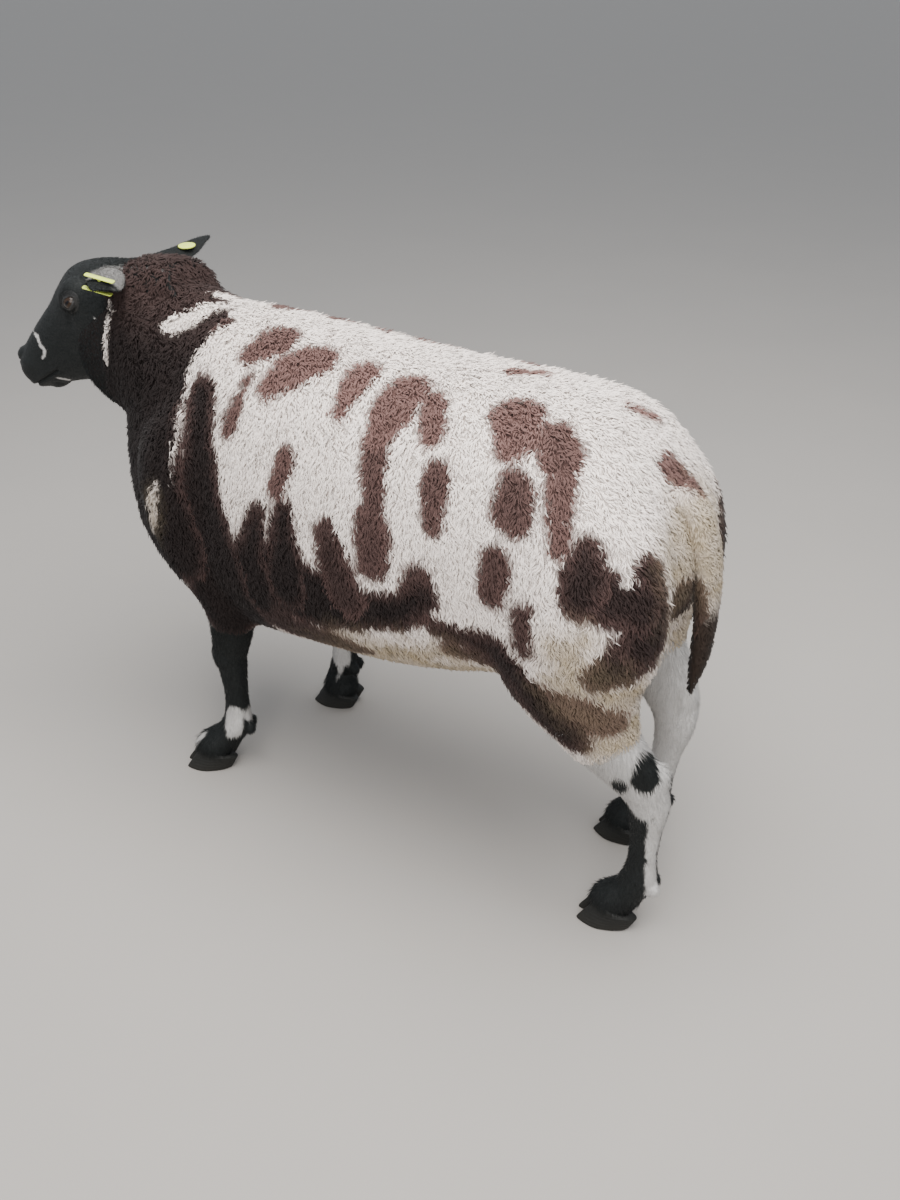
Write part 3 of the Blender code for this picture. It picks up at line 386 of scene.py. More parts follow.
# White of each leg, as strokes
LEG_MARKS = {
    "front_left": (((0.135, -0.291, 0.105, 0.016), (0.140, -0.290, 0.078, 0.015)),
                   ((0.112, -0.284, 0.100, 0.013), (0.104, -0.300, 0.098, 0.010)),
                   ((0.153, -0.346, 0.060, 0.006), (0.159, -0.353, 0.050, 0.006))),
    "front_right": (((-0.118, -0.275, 0.120, 0.022), (-0.100, -0.261, 0.100, 0.018)),
                    ((-0.097, -0.258, 0.085, 0.006), (-0.098, -0.268, 0.058, 0.004))),
    "hind_left": (((0.104, 0.370, 0.360, 0.110), (0.100, 0.400, 0.290, 0.075), (0.092, 0.412, 0.232, 0.032)),
                  ((0.096, 0.430, 0.205, 0.014), (0.097, 0.432, 0.139, 0.013), (0.093, 0.435, 0.076, 0.015))),
    "hind_right": (((-0.104, 0.320, 0.360, 0.110), (-0.096, 0.350, 0.260, 0.070),
                    (-0.088, 0.350, 0.150, 0.030)),
                   ((-0.086, 0.346, 0.140, 0.024), (-0.086, 0.346, 0.105, 0.022))),
}
LEG_SPOTS = {
    "front_left": (),
    "front_right": (),
    "hind_left": (((0.111, 0.409, 0.296, 0.017), (0.119, 0.414, 0.276, 0.019)),
                  ((0.128, 0.385, 0.262, 0.012), (0.126, 0.380, 0.252, 0.010)),
                  ((0.104, 0.392, 0.190, 0.010), (0.112, 0.388, 0.150, 0.008))),
    "hind_right": (((-0.110, 0.330, 0.300, 0.016), (-0.112, 0.336, 0.285, 0.014)),
                   ((-0.075, 0.330, 0.170, 0.009), (-0.078, 0.330, 0.150, 0.008))),
}

# Camera, in the ram's own frame before the model's box is centred: place, heading, tilt, focal length
CAMERA_AT = (1.25, 0.88, 1.23)
CAMERA_HEADING = (-0.829, -0.559)
CAMERA_TILT = math.radians(30.0)
CAMERA_LENS = 36.0
# The floor lies a hair's breadth under the soles
FLOOR_SIZE = 30.0
FLOOR_DROP = 0.0005


class FleeceSettings(bpy.types.PropertyGroup):
    """Sizes and colours of the wool."""
    locks: IntProperty(name="Locks", description="Number of curled locks on the body", default=176000,
                       min=100)
    tail_locks: IntProperty(name="Tail locks", description="Number of curled locks on the tail",
                            default=5200, min=100)
    length: FloatProperty(name="Length", description="Length of a lock", default=0.0155, unit="LENGTH")
    width: FloatProperty(name="Width", description="Width of a lock at its bend", default=0.0025,
                         unit="LENGTH")
    white: FloatVectorProperty(name="White", description="Clean wool", subtype="COLOR", size=4,
                               default=(0.90, 0.800, 0.735, 1.0))
    # Brown shows where a spot's blackness is low, mostly high on the back, where it is partly the wool's own
    # brown and partly painted light from above.
    brown: FloatVectorProperty(name="Brown", description="Spots, sunned", subtype="COLOR", size=4,
                               default=(0.200, 0.112, 0.098, 1.0))
    black: FloatVectorProperty(name="Black", description="Dark wool of the neck", subtype="COLOR", size=4,
                               default=(0.015, 0.0100, 0.0092, 1.0))
    stain: FloatVectorProperty(name="Stain", description="Wool stained by the yard", subtype="COLOR", size=4,
                               default=(0.34, 0.265, 0.16, 1.0))


class HairSettings(bpy.types.PropertyGroup):
    """Sizes and colours of the short hair of face, ears and legs."""
    face: IntProperty(name="Face hairs", description="Number of hairs on the head", default=26000, min=100)
    leg: IntProperty(name="Leg hairs", description="Number of hairs on each leg", default=9000, min=100)
    length: FloatProperty(name="Length", description="Length of a hair", default=0.0075, unit="LENGTH")
    black: FloatVectorProperty(name="Black", description="Black hair", subtype="COLOR", size=4,
                               default=(0.0095, 0.0110, 0.0108, 1.0))
    white: FloatVectorProperty(name="White", description="White hair", subtype="COLOR", size=4,
                               default=(0.52, 0.50, 0.48, 1.0))


class TrimSettings(bpy.types.PropertyGroup):
    """Colours of horn, eyes and ear tags."""
    horn: FloatVectorProperty(name="Horn", description="Hoof horn", subtype="COLOR", size=4,
                              default=(0.0080, 0.0082, 0.0076, 1.0))
    iris: FloatVectorProperty(name="Iris", description="Iris of the eye", subtype="COLOR", size=4,
                              default=(0.032, 0.016, 0.007, 1.0))
    tag: FloatVectorProperty(name="Tag", description="Plastic of the ear tags", subtype="COLOR", size=4,
                             default=(0.62, 0.74, 0.07, 1.0))


class StageSettings(bpy.types.PropertyGroup):
    """Floor and light."""
    sky: FloatProperty(name="Sky", description="Strength of the even light", default=0.80, min=0.0)
    key: FloatProperty(name="Key", description="Power of the large soft light overhead", default=172.0,
                       min=0.0)
    floor: FloatVectorProperty(name="Floor", description="Pale floor", subtype="COLOR", size=4,
                               default=(0.35, 0.325, 0.30, 1.0))


def spline(rows, count):
    """Rows of numbers read along a smooth curve through all of them."""
    out = []
    last = len(rows) - 1
    for i in range(count):
        t = last * i / (count - 1)
        k = min(int(t), last - 1)
        f = t - k
        a, b, c, d = (rows[max(0, min(last, k + n))] for n in (-1, 0, 1, 2))
        row = []
        for p, q, r, s in zip(a, b, c, d):
            row.append(0.5 * (2 * q + (r - p) * f + (2 * p - 5 * q + 4 * r - s) * f * f
                              + (3 * q - p - 3 * r + s) * f ** 3))
        out.append(row)
    return out


def ring(centre, side, up, wide, rise, drop, sides, square=2.0):
    """Points round an oval that may be deeper below its centre than above it."""
    power = 2.0 / square
    points = []
    for i in range(sides):
        turn = 2 * math.pi * i / sides
        c, s = math.cos(turn), math.sin(turn)
        high = rise if s > 0 else drop
        across = wide * math.copysign(abs(c) ** power, c)
        points.append(centre + side * across + up * (high * math.copysign(abs(s) ** power, s)))
    return points


def mesh_from(form, name):
    """The mesh that a form was built up for."""
    mesh = bpy.data.meshes.new(name)
    form.to_mesh(mesh)
    form.free()
    return mesh


def take_in(form, mesh):
    """Add a mesh to a form; the mesh itself is then done with."""
    form.from_mesh(mesh)
    bpy.data.meshes.remove(mesh)


def join_rows(form, rows):
    """Faces between each closed row of corners and the next."""
    sides = len(rows[0])
    for a, b in zip(rows, rows[1:]):
        for i in range(sides):
            j = (i + 1) % sides
            form.faces.new((a[i], a[j], b[j], b[i]))


def linked(name, data):
    """A new object of the scene."""
    thing = bpy.data.objects.new(name, data)
    bpy.context.scene.collection.objects.link(thing)
    return thing


def loft(name, rings):
    """Closed mesh through rings of equal length, each end capped by a fan."""
    form = bmesh.new()
    rows = [[form.verts.new(p) for p in points] for points in rings]
    sides = len(rows[0])
    join_rows(form, rows)
    for row in (rows[0], rows[-1]):
        middle = form.verts.new(sum((v.co for v in row), Vector()) / sides)
        for i in range(sides):
            form.faces.new((row[i], row[(i + 1) % sides], middle))
    bmesh.ops.recalc_face_normals(form, faces=form.faces)
    return mesh_from(form, name)


def limb(name, rows, rings, sides, inset=0.0):
    """A limb whose sections stay square to its centre line; inset thins it all round."""
    steps = spline(rows, rings)
    centres = [Vector(row[:3]) for row in steps]
    out = []
    for i, row in enumerate(steps):
        along = (centres[min(i + 1, rings - 1)] - centres[max(i - 1, 0)]).normalized()
        side = Vector((0, 1, 0)).cross(along)
        side = Vector((1, 0, 0)) if side.length < 0.3 else side.normalized()
        deep = along.cross(side).normalized()
        half_deep, half_wide = row[3] - inset, row[4] - inset
        out.append(ring(centres[i], side, deep, half_wide, half_deep, half_deep, sides))
    return loft(name, out)


def trunk(name, rings, sides, inset):
    out = []
    for y, top, bottom, wide, level in spline(TRUNK, rings):
        squeeze = 1.0 - inset / 0.26
        centre = Vector((0, -0.03 + (y + 0.03) * squeeze, level))
        out.append(ring(centre, Vector((1, 0, 0)), Vector((0, 0, 1)), max(wide - inset, 0.02),
                        max(top - level - inset, 0.02), max(level - bottom - inset, 0.02), sides, 2.25))
    return loft(name, out)


def mirrored(rows, shift):
    """The same rows on the other side, moved fore or aft by an amount that grows towards the last row."""
    last = len(rows) - 1
    out = []
    for i, row in enumerate(rows):
        move = shift[0] + (shift[1] - shift[0]) * i / last
        out.append((-row[0], row[1] + move) + tuple(row[2:]))
    return out


def egg(name, centre, half_sizes, turn=None):
    """A closed ball with a half size of its own along each axis of a frame."""
    form = bmesh.new()
    bmesh.ops.create_uvsphere(form, u_segments=32, v_segments=20, radius=1.0)
    bmesh.ops.scale(form, vec=half_sizes, verts=form.verts)
    if turn is not None:
        bmesh.ops.transform(form, matrix=turn, verts=form.verts)
    bmesh.ops.translate(form, vec=centre, verts=form.verts)
    return mesh_from(form, name)


def blend_masses(name, meshes, voxel, rounds):
    """Join closed meshes into one skin and ease the creases where they meet."""
    form = bmesh.new()
    for mesh in meshes:
        take_in(form, mesh)
    joined = mesh_from(form, name)
    thing = linked(name, joined)
    grid = thing.modifiers.new("grid", "REMESH")
    grid.mode = "VOXEL"
    grid.voxel_size = voxel
    ease = thing.modifiers.new("ease", "SMOOTH")
    ease.factor = 0.5
    ease.iterations = rounds
    graph = bpy.context.evaluated_depsgraph_get()
    graph.update()
    mesh = bpy.data.meshes.new_from_object(thing.evaluated_get(graph))
    bpy.data.objects.remove(thing, do_unlink=True)
    bpy.data.meshes.remove(joined)
    return mesh


def head_axes():
    """Poll, and the directions along the head, to its left and up."""
    along = Vector((math.sin(HEAD_YAW) * math.cos(HEAD_PITCH), -math.cos(HEAD_YAW) * math.cos(HEAD_PITCH),
                    -math.sin(HEAD_PITCH)))
    left = Vector((math.cos(HEAD_YAW), math.sin(HEAD_YAW), 0))
    up = left.cross(along)
    if up.z < 0:
        up = -up
    return Vector(POLL), along, left, up


def on_head(along_by, side_by, up_by):
    poll, along, left, up = head_axes()
    return poll + along * along_by + left * side_by + up * up_by


def eye_centre(sign):
    along_by, side_by, up_by = EYE_AT
    return on_head(along_by, sign * side_by, up_by)


def head_turn():
    _, along, left, up = head_axes()
    return Matrix((along, left, up)).transposed().to_4x4()


def centring():
    """How far the solids were moved to put the middle of their box on the Z axis."""
    low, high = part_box("eye_left")
    return (low + high) / 2 - on_head(*EYE_AT)


SHIFT = centring()


def leg_rows(key):
    rows = FORE_LEG if key.startswith("front") else HIND_LEG
    if key.endswith("right"):
        rows = mirrored(rows, LEG_SHIFT[key])
    return list(rows)


def hoof_frame(key):
    """Local Y runs from toe to heel, Z up, the origin in the middle of the sole."""
    x, y, turn = FEET[key]
    return Matrix.Translation((x, y, 0)) @ Matrix.Rotation(math.radians(turn), 4, "Z")


def coronet(key):
    """Middle of the hoof's top and the way it faces."""
    place = hoof_frame(key)
    height = (HOOF_TOE_HEIGHT + HOOF_HEEL_HEIGHT) / 2
    slope = math.atan2(HOOF_TOE_HEIGHT - HOOF_HEEL_HEIGHT, HOOF_LENGTH * 0.7)
    point = place @ Vector((0, 0.010, height))
    axis = place.to_3x3() @ Vector((0, math.sin(slope), math.cos(slope)))
    return point, axis


def noise(points, scale, seed):
    """Smooth random values from -1 to 1 at each point."""
    q = points * scale + seed * 17.13
    cell = np.floor(q).astype(np.int64)
    f = q - cell
    f = f * f * (3 - 2 * f)
    total = np.zeros(len(points))
    for corner in range(8):
        step = np.array([corner & 1, (corner >> 1) & 1, (corner >> 2) & 1])
        at = cell + step
        mixed = (at[:, 0] * 73856093) ^ (at[:, 1] * 19349663) ^ (at[:, 2] * 83492791)
        mixed = (mixed ^ (mixed >> 13)) * 1274126177
        value = ((mixed ^ (mixed >> 16)) & 0xFFFFFF) / float(0xFFFFFF) * 2 - 1
        weight = np.prod(np.where(step, f, 1 - f), axis=1)
        total += value * weight
    return total


def ease(low, high, value):
    """0 below low, 1 above high, smooth between."""
    t = np.clip((value - low) / (high - low), 0, 1)
    return t * t * (3 - 2 * t)


def stroke_depth(points, stroke):
    """How deep each point lies inside a stroke with a half width of its own at each knot."""
    rows = np.array(stroke, float)
    best = np.full(len(points), -1.0)
    for a, b in zip(rows, rows[1:]):
        along = b[:3] - a[:3]
        t = np.clip((points - a[:3]) @ along / max(along @ along, 1e-9), 0, 1)
        near = a[:3] + t[:, None] * along
        depth = a[3] + t * (b[3] - a[3]) - np.linalg.norm(points - near, axis=1)
        best = np.maximum(best, depth)
    return best


def stroke_mask(points, stroke, soft, wobble):
    """1 inside a stroke and 0 outside, its edge softened and made uneven."""
    rows = np.array(stroke, float)
    reach = rows[:, 3].max() + 0.03
    near = np.all((points > rows[:, :3].min(0) - reach) & (points < rows[:, :3].max(0) + reach), axis=1)
    mask = np.zeros(len(points))
    if near.any():
        mask[near] = ease(-soft, soft, stroke_depth(points[near], stroke) + wobble[near])
    return mask


def to_left(points):
    """Points of the right side read the left side's pattern, a little moved so that the sides differ."""
    out = points.copy()
    right = points[:, 0] < -0.012
    out[right, 0] = -out[right, 0]
    out[right, 1] += 0.040 + 0.030 * np.sin(points[right, 2] * 11)
    out[right, 2] += 0.018 * np.sin(points[right, 1] * 9)
    return out


def lay_over(dark, black, mask, blackness):
    """One more dark mark in a pattern: how dark and how black the pattern then is."""
    return np.maximum(dark, mask), np.where(mask > dark, blackness, black)


def spot_marks(points, p, wobble):
    """The dark neck and the spots, with the white lines left in them: how dark and how black."""
    edge = ease(-0.007, 0.007, NECK_EDGE - p[:, 1] + 0.010 * noise(points, 22, 3) + wobble)
    dark = edge
    # The dark neck wool is painted a little less black towards the top, as if lit from above: painted light.
    black = (1 - 0.12 * ease(0.66, 0.76, points[:, 2])) * edge
    spots = [(p, blackness, stroke) for _, blackness, stroke in SPOTS]
    spots += [(points, blackness, stroke) for _, blackness, stroke in RIDGE_SPOTS]
    for places, blackness, stroke in spots:
        mask = stroke_mask(places, stroke, 0.0065, wobble)
        inner = stroke_mask(places, stroke, 0.0160, wobble - 0.012)
        dark, black = lay_over(dark, black, mask, blackness * (0.72 + 0.28 * inner))
    stripe = stroke_mask(p, NECK_STRIPE[1], 0.005, wobble)
    dark, black = lay_over(dark, black, stripe, 0.7)
    for _, stroke in WHITE_LINES + (THIGH_NOTCH,):
        dark = dark * (1 - stroke_mask(p, stroke, 0.004, wobble))
    return dark, black


def dock_mark(points):
    """1 on the dark end of the tail."""
    aside = np.abs(points[:, 0])
    return ease(0.392, 0.402, points[:, 1]) * ease(0.044, 0.034, aside) * ease(0.505, 0.455, points[:, 2])


def wool_stains(points, p, wobble):
    """How stained the wool is: along the strokes of stains, and on the tail above its dark end."""
    stain = np.zeros(len(points))
    for _, stroke in STAINS:
        stain = np.maximum(stain, stroke_mask(p, stroke, 0.030, wobble * 3))
    tail = ease(0.385, 0.400, points[:, 1]) * ease(0.050, 0.038, np.abs(points[:, 0]))
    return np.maximum(stain, tail) * (1 - 0.8 * dock_mark(points))


def wool_marks(points):
    """Spots of the fleece: how dark, how black, how stained."""
    p = to_left(points)
    wobble = 0.0055 * noise(points, 42, 1) + 0.0030 * noise(points, 130, 2)
    dark, black = spot_marks(points, p, wobble)
    dark, black = lay_over(dark, black, dock_mark(points), 0.95)
    jaw = ease(-0.505, -0.520, points[:, 1]) * ease(0.76, 0.72, points[:, 2])
    black = np.maximum(black, jaw)
    dark = np.maximum(dark, jaw)
    dark = dark * (1 - stroke_mask(points, CHEEK_LINE[1], 0.0022, wobble * 0.3))
    low = ease(0.33, 0.24, points[:, 2]) * ease(-0.10, -0.16, points[:, 1])
    dark = np.maximum(dark, low)
    black = np.maximum(black, 0.9 * low)
    return dark, black, wool_stains(points, p, wobble)


def marks_of(strokes, points, soft, wobble):
    out = np.zeros(len(points))
    for stroke in strokes:
        out = np.maximum(out, stroke_mask(points, stroke, soft, wobble))
    return out


def face_marks(points):
    """White, and pale grey, of the face and ears."""
    wobble = 0.0012 * noise(points, 240, 5) + 0.0008 * noise(points, 600, 6)
    white = marks_of([stroke for _, stroke in FACE_MARKS], points, 0.0014, wobble)
    pale = marks_of([stroke for _, stroke in PALE_EAR_MARKS], points, 0.006, wobble * 3)
    return white, pale


def leg_marks(points, key):
    """White of a leg: 1 where the hair is white."""
    wobble = 0.0025 * noise(points, 110, 7) + 0.0012 * noise(points, 320, 8)
    white = marks_of(LEG_MARKS[key], points, 0.0022, wobble)
    return white * (1 - marks_of(LEG_SPOTS[key], points, 0.0022, wobble))


def arrays(mesh):
    """Corners, triangles and corner normals of a mesh."""
    mesh.calc_loop_triangles()
    corners = np.empty(len(mesh.vertices) * 3)
    mesh.vertices.foreach_get("co", corners)
    tris = np.empty(len(mesh.loop_triangles) * 3, np.int32)
    mesh.loop_triangles.foreach_get("vertices", tris)
    normals = np.empty(len(mesh.vertices) * 3)
    mesh.vertex_normals.foreach_get("vector", normals)
    return corners.reshape(-1, 3), tris.reshape(-1, 3), normals.reshape(-1, 3)


def unit(vectors):
    return vectors / np.maximum(np.linalg.norm(vectors, axis=1, keepdims=True), 1e-9)


def strew(mesh, count, draw):
    """Roots spread evenly over a mesh, with the surface's normal at each."""
    corners, tris, normals = arrays(mesh)
    a, b, c = (corners[tris[:, k]] for k in range(3))
    area = np.linalg.norm(np.cross(b - a, c - a), axis=1)
    total = np.cumsum(area)
    pick = (np.arange(count) + draw.random(count)) / count * total[-1]
    tri = np.minimum(np.searchsorted(total, pick), len(tris) - 1)
    r, s = np.sqrt(draw.random(count)), draw.random(count)
    share = np.stack([1 - r, r * (1 - s), r * s], 1)[:, :, None]
    roots = (corners[tris[tri]] * share).sum(1)
    facing = unit((normals[tris[tri]] * share).sum(1))
    return roots, facing


def set_attribute(mesh, name, kind, values):
    layer = mesh.attributes.new(name, kind, "POINT")
    key = "value" if kind == "FLOAT" else ("color" if kind == "FLOAT_COLOR" else "vector")
    layer.data.foreach_set(key, np.ascontiguousarray(values, np.float32).ravel())


def mesh_of(name, corners, tris, bake=None):
    """A mesh of triangles, with a bake map given for each corner of each triangle."""
    mesh = bpy.data.meshes.new(name)
    mesh.vertices.add(len(corners))
    mesh.vertices.foreach_set("co", np.ascontiguousarray(corners, np.float32).ravel())
    mesh.loops.add(len(tris) * 3)
    mesh.loops.foreach_set("vertex_index", np.ascontiguousarray(tris, np.int32).ravel())
    mesh.polygons.add(len(tris))
    mesh.polygons.foreach_set("loop_start", np.arange(0, len(tris) * 3, 3, dtype=np.int32))
    if bake is not None:
        layer = mesh.uv_layers.new(name="OFBake")
        layer.data.foreach_set("uv", np.ascontiguousarray(bake[tris.ravel()], np.float32).ravel())
    mesh.update(calc_edges=True)
    mesh.shade_smooth()
    return mesh


LOCK_FACES = np.array([(0, 1, 2), (0, 2, 3), (0, 3, 1), (4, 2, 1), (4, 3, 2), (4, 1, 3)])
FIBRE_FACES = np.array([(0, 1, 2), (1, 0, 3), (2, 1, 3), (0, 2, 3)])
PATCH = 0.0015


def around(way, facing, draw):
    """Two directions square to a tuft's own, turned at random."""
    side = unit(np.cross(way, facing) + 1e-6)
    up = np.cross(side, way)
    turn = draw.random(len(way))[:, None] * 2 * math.pi
    return side * np.cos(turn) + up * np.sin(turn), up * np.cos(turn) - side * np.sin(turn)


def triangle_round(centre, side, up, radius, start):
    """Three corners round each centre."""
    out = []
    for k in range(3):
        turn = start + 2 * math.pi * k / 3
        out.append(centre + (side * math.cos(turn) + up * math.sin(turn)) * radius[:, None])
    return out


def patch_round(place, radius, start):
    return [place + radius * np.array([math.cos(start + 2 * math.pi * k / 3),
                                       math.sin(start + 2 * math.pi * k / 3)])
            for k in range(3)]


def lock_arrays(roots, facing, first, second, length, width, place, draw):
    """Curled solid locks: narrow at the root, full at the bend, pointed at the tip."""
    side, up = around(first, facing, draw)
    bend = roots + first * (length * 0.5)[:, None]
    tip = bend + second * (length * 0.5)[:, None]
    full = triangle_round(bend, side, up, width * 0.5, 0.0)
    corners = np.stack([roots - facing * 0.0015] + full + [tip], 1)
    bake = np.stack([place] + patch_round(place, PATCH, 0.0) + [place + PATCH * 0.3], 1)
    rise = np.tile(np.array([0, 0.6, 0.6, 0.6, 1.0]), (len(roots), 1))
    return corners, bake, rise, LOCK_FACES


def fibre_arrays(roots, facing, way, length, width, place, draw):
    """Fine straight solid fibres."""
    side, up = around(way, facing, draw)
    low = triangle_round(roots - facing * 0.0006, side, up, width * 0.5, 0.0)
    tip = roots + way * length[:, None]
    corners = np.stack(low + [tip], 1)
    bake = np.stack(patch_round(place, PATCH, 0.0) + [place], 1)
    rise = np.tile(np.array([0, 0, 0, 1.0]), (len(roots), 1))
    return corners, bake, rise, FIBRE_FACES


def soft_normals(mesh, facing, each, share):
    """Shade each tuft partly as the skin under it, as fine hair scatters light from its neighbours."""
    own = np.empty(len(mesh.vertices) * 3, np.float32)
    mesh.vertex_normals.foreach_get("vector", own)
    under = np.repeat(facing, each, axis=0)
    mesh.normals_split_custom_set_from_vertices(unit(own.reshape(-1, 3) * (1 - share) + under * share))


def coat_mesh(name, parts, coat, facing, share):
    """One mesh of many tufts, with the coat's marks and each corner's height as attributes."""
    corners, bake, rise, faces = parts
    count, each = corners.shape[:2]
    tris = (faces[None] + (np.arange(count) * each)[:, None, None]).reshape(-1, 3)
    mesh = mesh_of(name, corners.reshape(-1, 3) + np.array(SHIFT), tris, bake.reshape(-1, 2))
    set_attribute(mesh, "coat", "FLOAT_COLOR", np.repeat(coat, each, axis=0))
    # Each corner's height, from which the painted shade of the root is made.
    set_attribute(mesh, "rise", "FLOAT", rise.ravel())
    soft_normals(mesh, facing, each, share)
    return mesh


def flow(facing, fall):
    """Direction along the surface that comes nearest to a given fall."""
    lay = fall - facing * (facing * fall).sum(1)[:, None]
    return unit(lay)


def swirl(way, facing, turn):
    """A direction turned about the surface's normal."""
    return way * np.cos(turn)[:, None] + np.cross(facing, way) * np.sin(turn)[:, None]


def fleece_ways(points, facing, draw):
    """First and second direction of each lock: out of the skin, then over and down the body."""
    lay = flow(facing, np.array([0.0, 0.42, -1.0]))
    curl = 0.55 + 0.75 * ease(-0.30, -0.40, points[:, 1])
    lay = swirl(lay, facing, curl * (noise(points, 95, 11) + 0.8 * noise(points, 210, 12)))
    jitter = draw.normal(0, 0.17, points.shape)
    first = unit(facing * 0.72 + lay * 0.75 + jitter)
    second = unit(facing * 0.10 + swirl(lay, facing, 0.9 * noise(points, 150, 13)) + jitter)
    return first, second


def round_place(across, ahead, share):
    """Bake places from the turn round a middle line and the share of the way along it."""
    turn = np.arctan2(across, ahead) / (2 * math.pi) + 0.5
    return np.stack([0.02 + 0.96 * turn, share], 1)


def inside_margin(share):
    """A share of the map's height, kept off its edges."""
    return 0.02 + 0.96 * np.clip(share, 0, 1)


def barrel_place(points, facing):
    """Unwrap of the trunk and neck round their axis; what faces inwards gets a strip of its own."""
    high = np.interp(points[:, 1], [-0.60, -0.40, 0.10, 0.42], [0.64, 0.55, 0.49, 0.53])
    out = np.stack([points[:, 0], points[:, 2] - high], 1)
    along = (points[:, 1] + 0.66) / 1.12
    inward = (out[:, 0] * facing[:, 0] + out[:, 1] * facing[:, 2]) < -0.02
    v = np.where(inward, 0.78 + 0.20 * along, 0.02 + 0.72 * along)
    return round_place(out[:, 0], out[:, 1], v)


def leg_place(points, key):
    rows = np.array(leg_rows(key))
    x = np.interp(-points[:, 2], -rows[:, 2], rows[:, 0])
    y = np.interp(-points[:, 2], -rows[:, 2], rows[:, 1])
    return round_place(points[:, 0] - x, points[:, 1] - y, inside_margin(points[:, 2] / 0.38))


def head_coords(points):
    """Distance along the head, sideways and up, for each point."""
    poll, along, left, up = head_axes()
    return (points - np.array(poll)) @ np.array((along, left, up)).T


def head_place(points):
    local = head_coords(points)
    return round_place(local[:, 1], local[:, 2] + 0.055, inside_margin((local[:, 0] + 0.07) / 0.41))


def new_material(name):
    made = bpy.data.materials.new(name)
    made.use_nodes = True
    tree = made.node_tree
    return made, tree, tree.nodes["Principled BSDF"]


def put(tree, kind, **settings):
    node = tree.nodes.new(kind)
    for key, value in settings.items():
        setattr(node, key, value)
    return node


def mix_colour(tree, share, first, second):
    """Colour mixed by a share; each colour is a socket or a value."""
    node = put(tree, "ShaderNodeMix", data_type="RGBA")
    for socket, value in ((node.inputs[0], share), (node.inputs[6], first), (node.inputs[7], second)):
        if isinstance(value, bpy.types.NodeSocket):
            tree.links.new(value, socket)
        else:
            socket.default_value = value
    return node.outputs[2]


def maths(tree, how, first, second=0.0, third=None, clamp=False):
    node = put(tree, "ShaderNodeMath", operation=how, use_clamp=clamp)
    for socket, value in zip(node.inputs, (first, second, third)):
        if value is None:
            continue
        if isinstance(value, bpy.types.NodeSocket):
            tree.links.new(value, socket)
        else:
            socket.default_value = value
    return node.outputs[0]


def noise_node(tree, scale, detail=3.0, rough=0.55):
    where = put(tree, "ShaderNodeNewGeometry")
    node = put(tree, "ShaderNodeTexNoise")
    node.inputs["Scale"].default_value = scale
    node.inputs["Detail"].default_value = detail
    node.inputs["Roughness"].default_value = rough
    tree.links.new(where.outputs["Position"], node.inputs["Vector"])
    return node.outputs["Fac"]


def group_with(name, takes, gives):
    """A node group with named colour and value sockets."""
    group = bpy.data.node_groups.new(name, "ShaderNodeTree")
    for label, kind in takes:
        group.interface.new_socket(name=label, in_out="INPUT", socket_type=kind)
    for label, kind in gives:
        group.interface.new_socket(name=label, in_out="OUTPUT", socket_type=kind)
    return group, put(group, "NodeGroupInput"), put(group, "NodeGroupOutput")


COLOUR, VALUE = "NodeSocketColor", "NodeSocketFloat"


def marked_colour(group, start, marks, blotch):
    """White wool or hair with its spots and stains."""
    split = put(group, "ShaderNodeSeparateColor")
    group.links.new(marks.outputs["Color"], split.inputs[0])
    dark, black, stain = split.outputs
    spot = mix_colour(group, black, start.outputs["Brown"], start.outputs["Black"])
    base = mix_colour(group, dark, start.outputs["White"], spot)
    amount = maths(group, "MULTIPLY", stain, maths(group, "MULTIPLY_ADD", blotch, 0.9, 0.35), clamp=True)
    amount = maths(group, "MULTIPLY", amount, maths(group, "MULTIPLY_ADD", dark, -0.75, 1.0))
    return mix_colour(group, amount, base, start.outputs["Stain"])


def coat_tone_and_painted_shade(group, start, tone, blotch):
    """Brightness of the coat: the tuft's own tone, blotches and grain, and painted shade that darkens it
    towards the root.
    """
    rise = put(group, "ShaderNodeAttribute", attribute_name="rise")
    fine = noise_node(group, 240.0, 2.0)
    shade = maths(group, "MULTIPLY_ADD", tone, 0.16, 0.91)
    shade = maths(group, "MULTIPLY", shade, maths(group, "MULTIPLY_ADD", blotch, 0.20, 0.90))
    shade = maths(group, "MULTIPLY", shade, maths(group, "MULTIPLY_ADD", fine, 0.16, 0.92))
    # Painted shade: each tuft darkens towards its root, standing for the shadow deep among the tufts.
    depth = maths(group, "SUBTRACT", 1.0, rise.outputs["Fac"])
    root = maths(group, "MULTIPLY", depth, start.outputs["Root painted shade"])
    return maths(group, "MULTIPLY", shade, maths(group, "SUBTRACT", 1.0, root))


def coat_group():
    """Colour of wool or hair from its marks: white or spotted, brown or black, stained; painted shade at the
    root.
    """
    if "Coat colour" in bpy.data.node_groups:
        return bpy.data.node_groups["Coat colour"]
    takes = [(label, COLOUR) for label in ("White", "Brown", "Black", "Stain")] + [("Root painted shade", VALUE)]
    group, start, end = group_with("Coat colour", takes, [("Colour", COLOUR), ("Tone", VALUE)])
    marks = put(group, "ShaderNodeAttribute", attribute_name="coat")
    tone = marks.outputs["Alpha"]
    blotch = noise_node(group, 26.0)
    shade = coat_tone_and_painted_shade(group, start, tone, blotch)
    grey = put(group, "ShaderNodeCombineColor")
    for socket in grey.inputs:
        group.links.new(shade, socket)
    product = put(group, "ShaderNodeMix", data_type="RGBA", blend_type="MULTIPLY")
    product.inputs[0].default_value = 1.0
    group.links.new(marked_colour(group, start, marks, blotch), product.inputs[6])
    group.links.new(grey.outputs[0], product.inputs[7])
    group.links.new(product.outputs[2], end.inputs["Colour"])
    group.links.new(tone, end.inputs["Tone"])
    return group


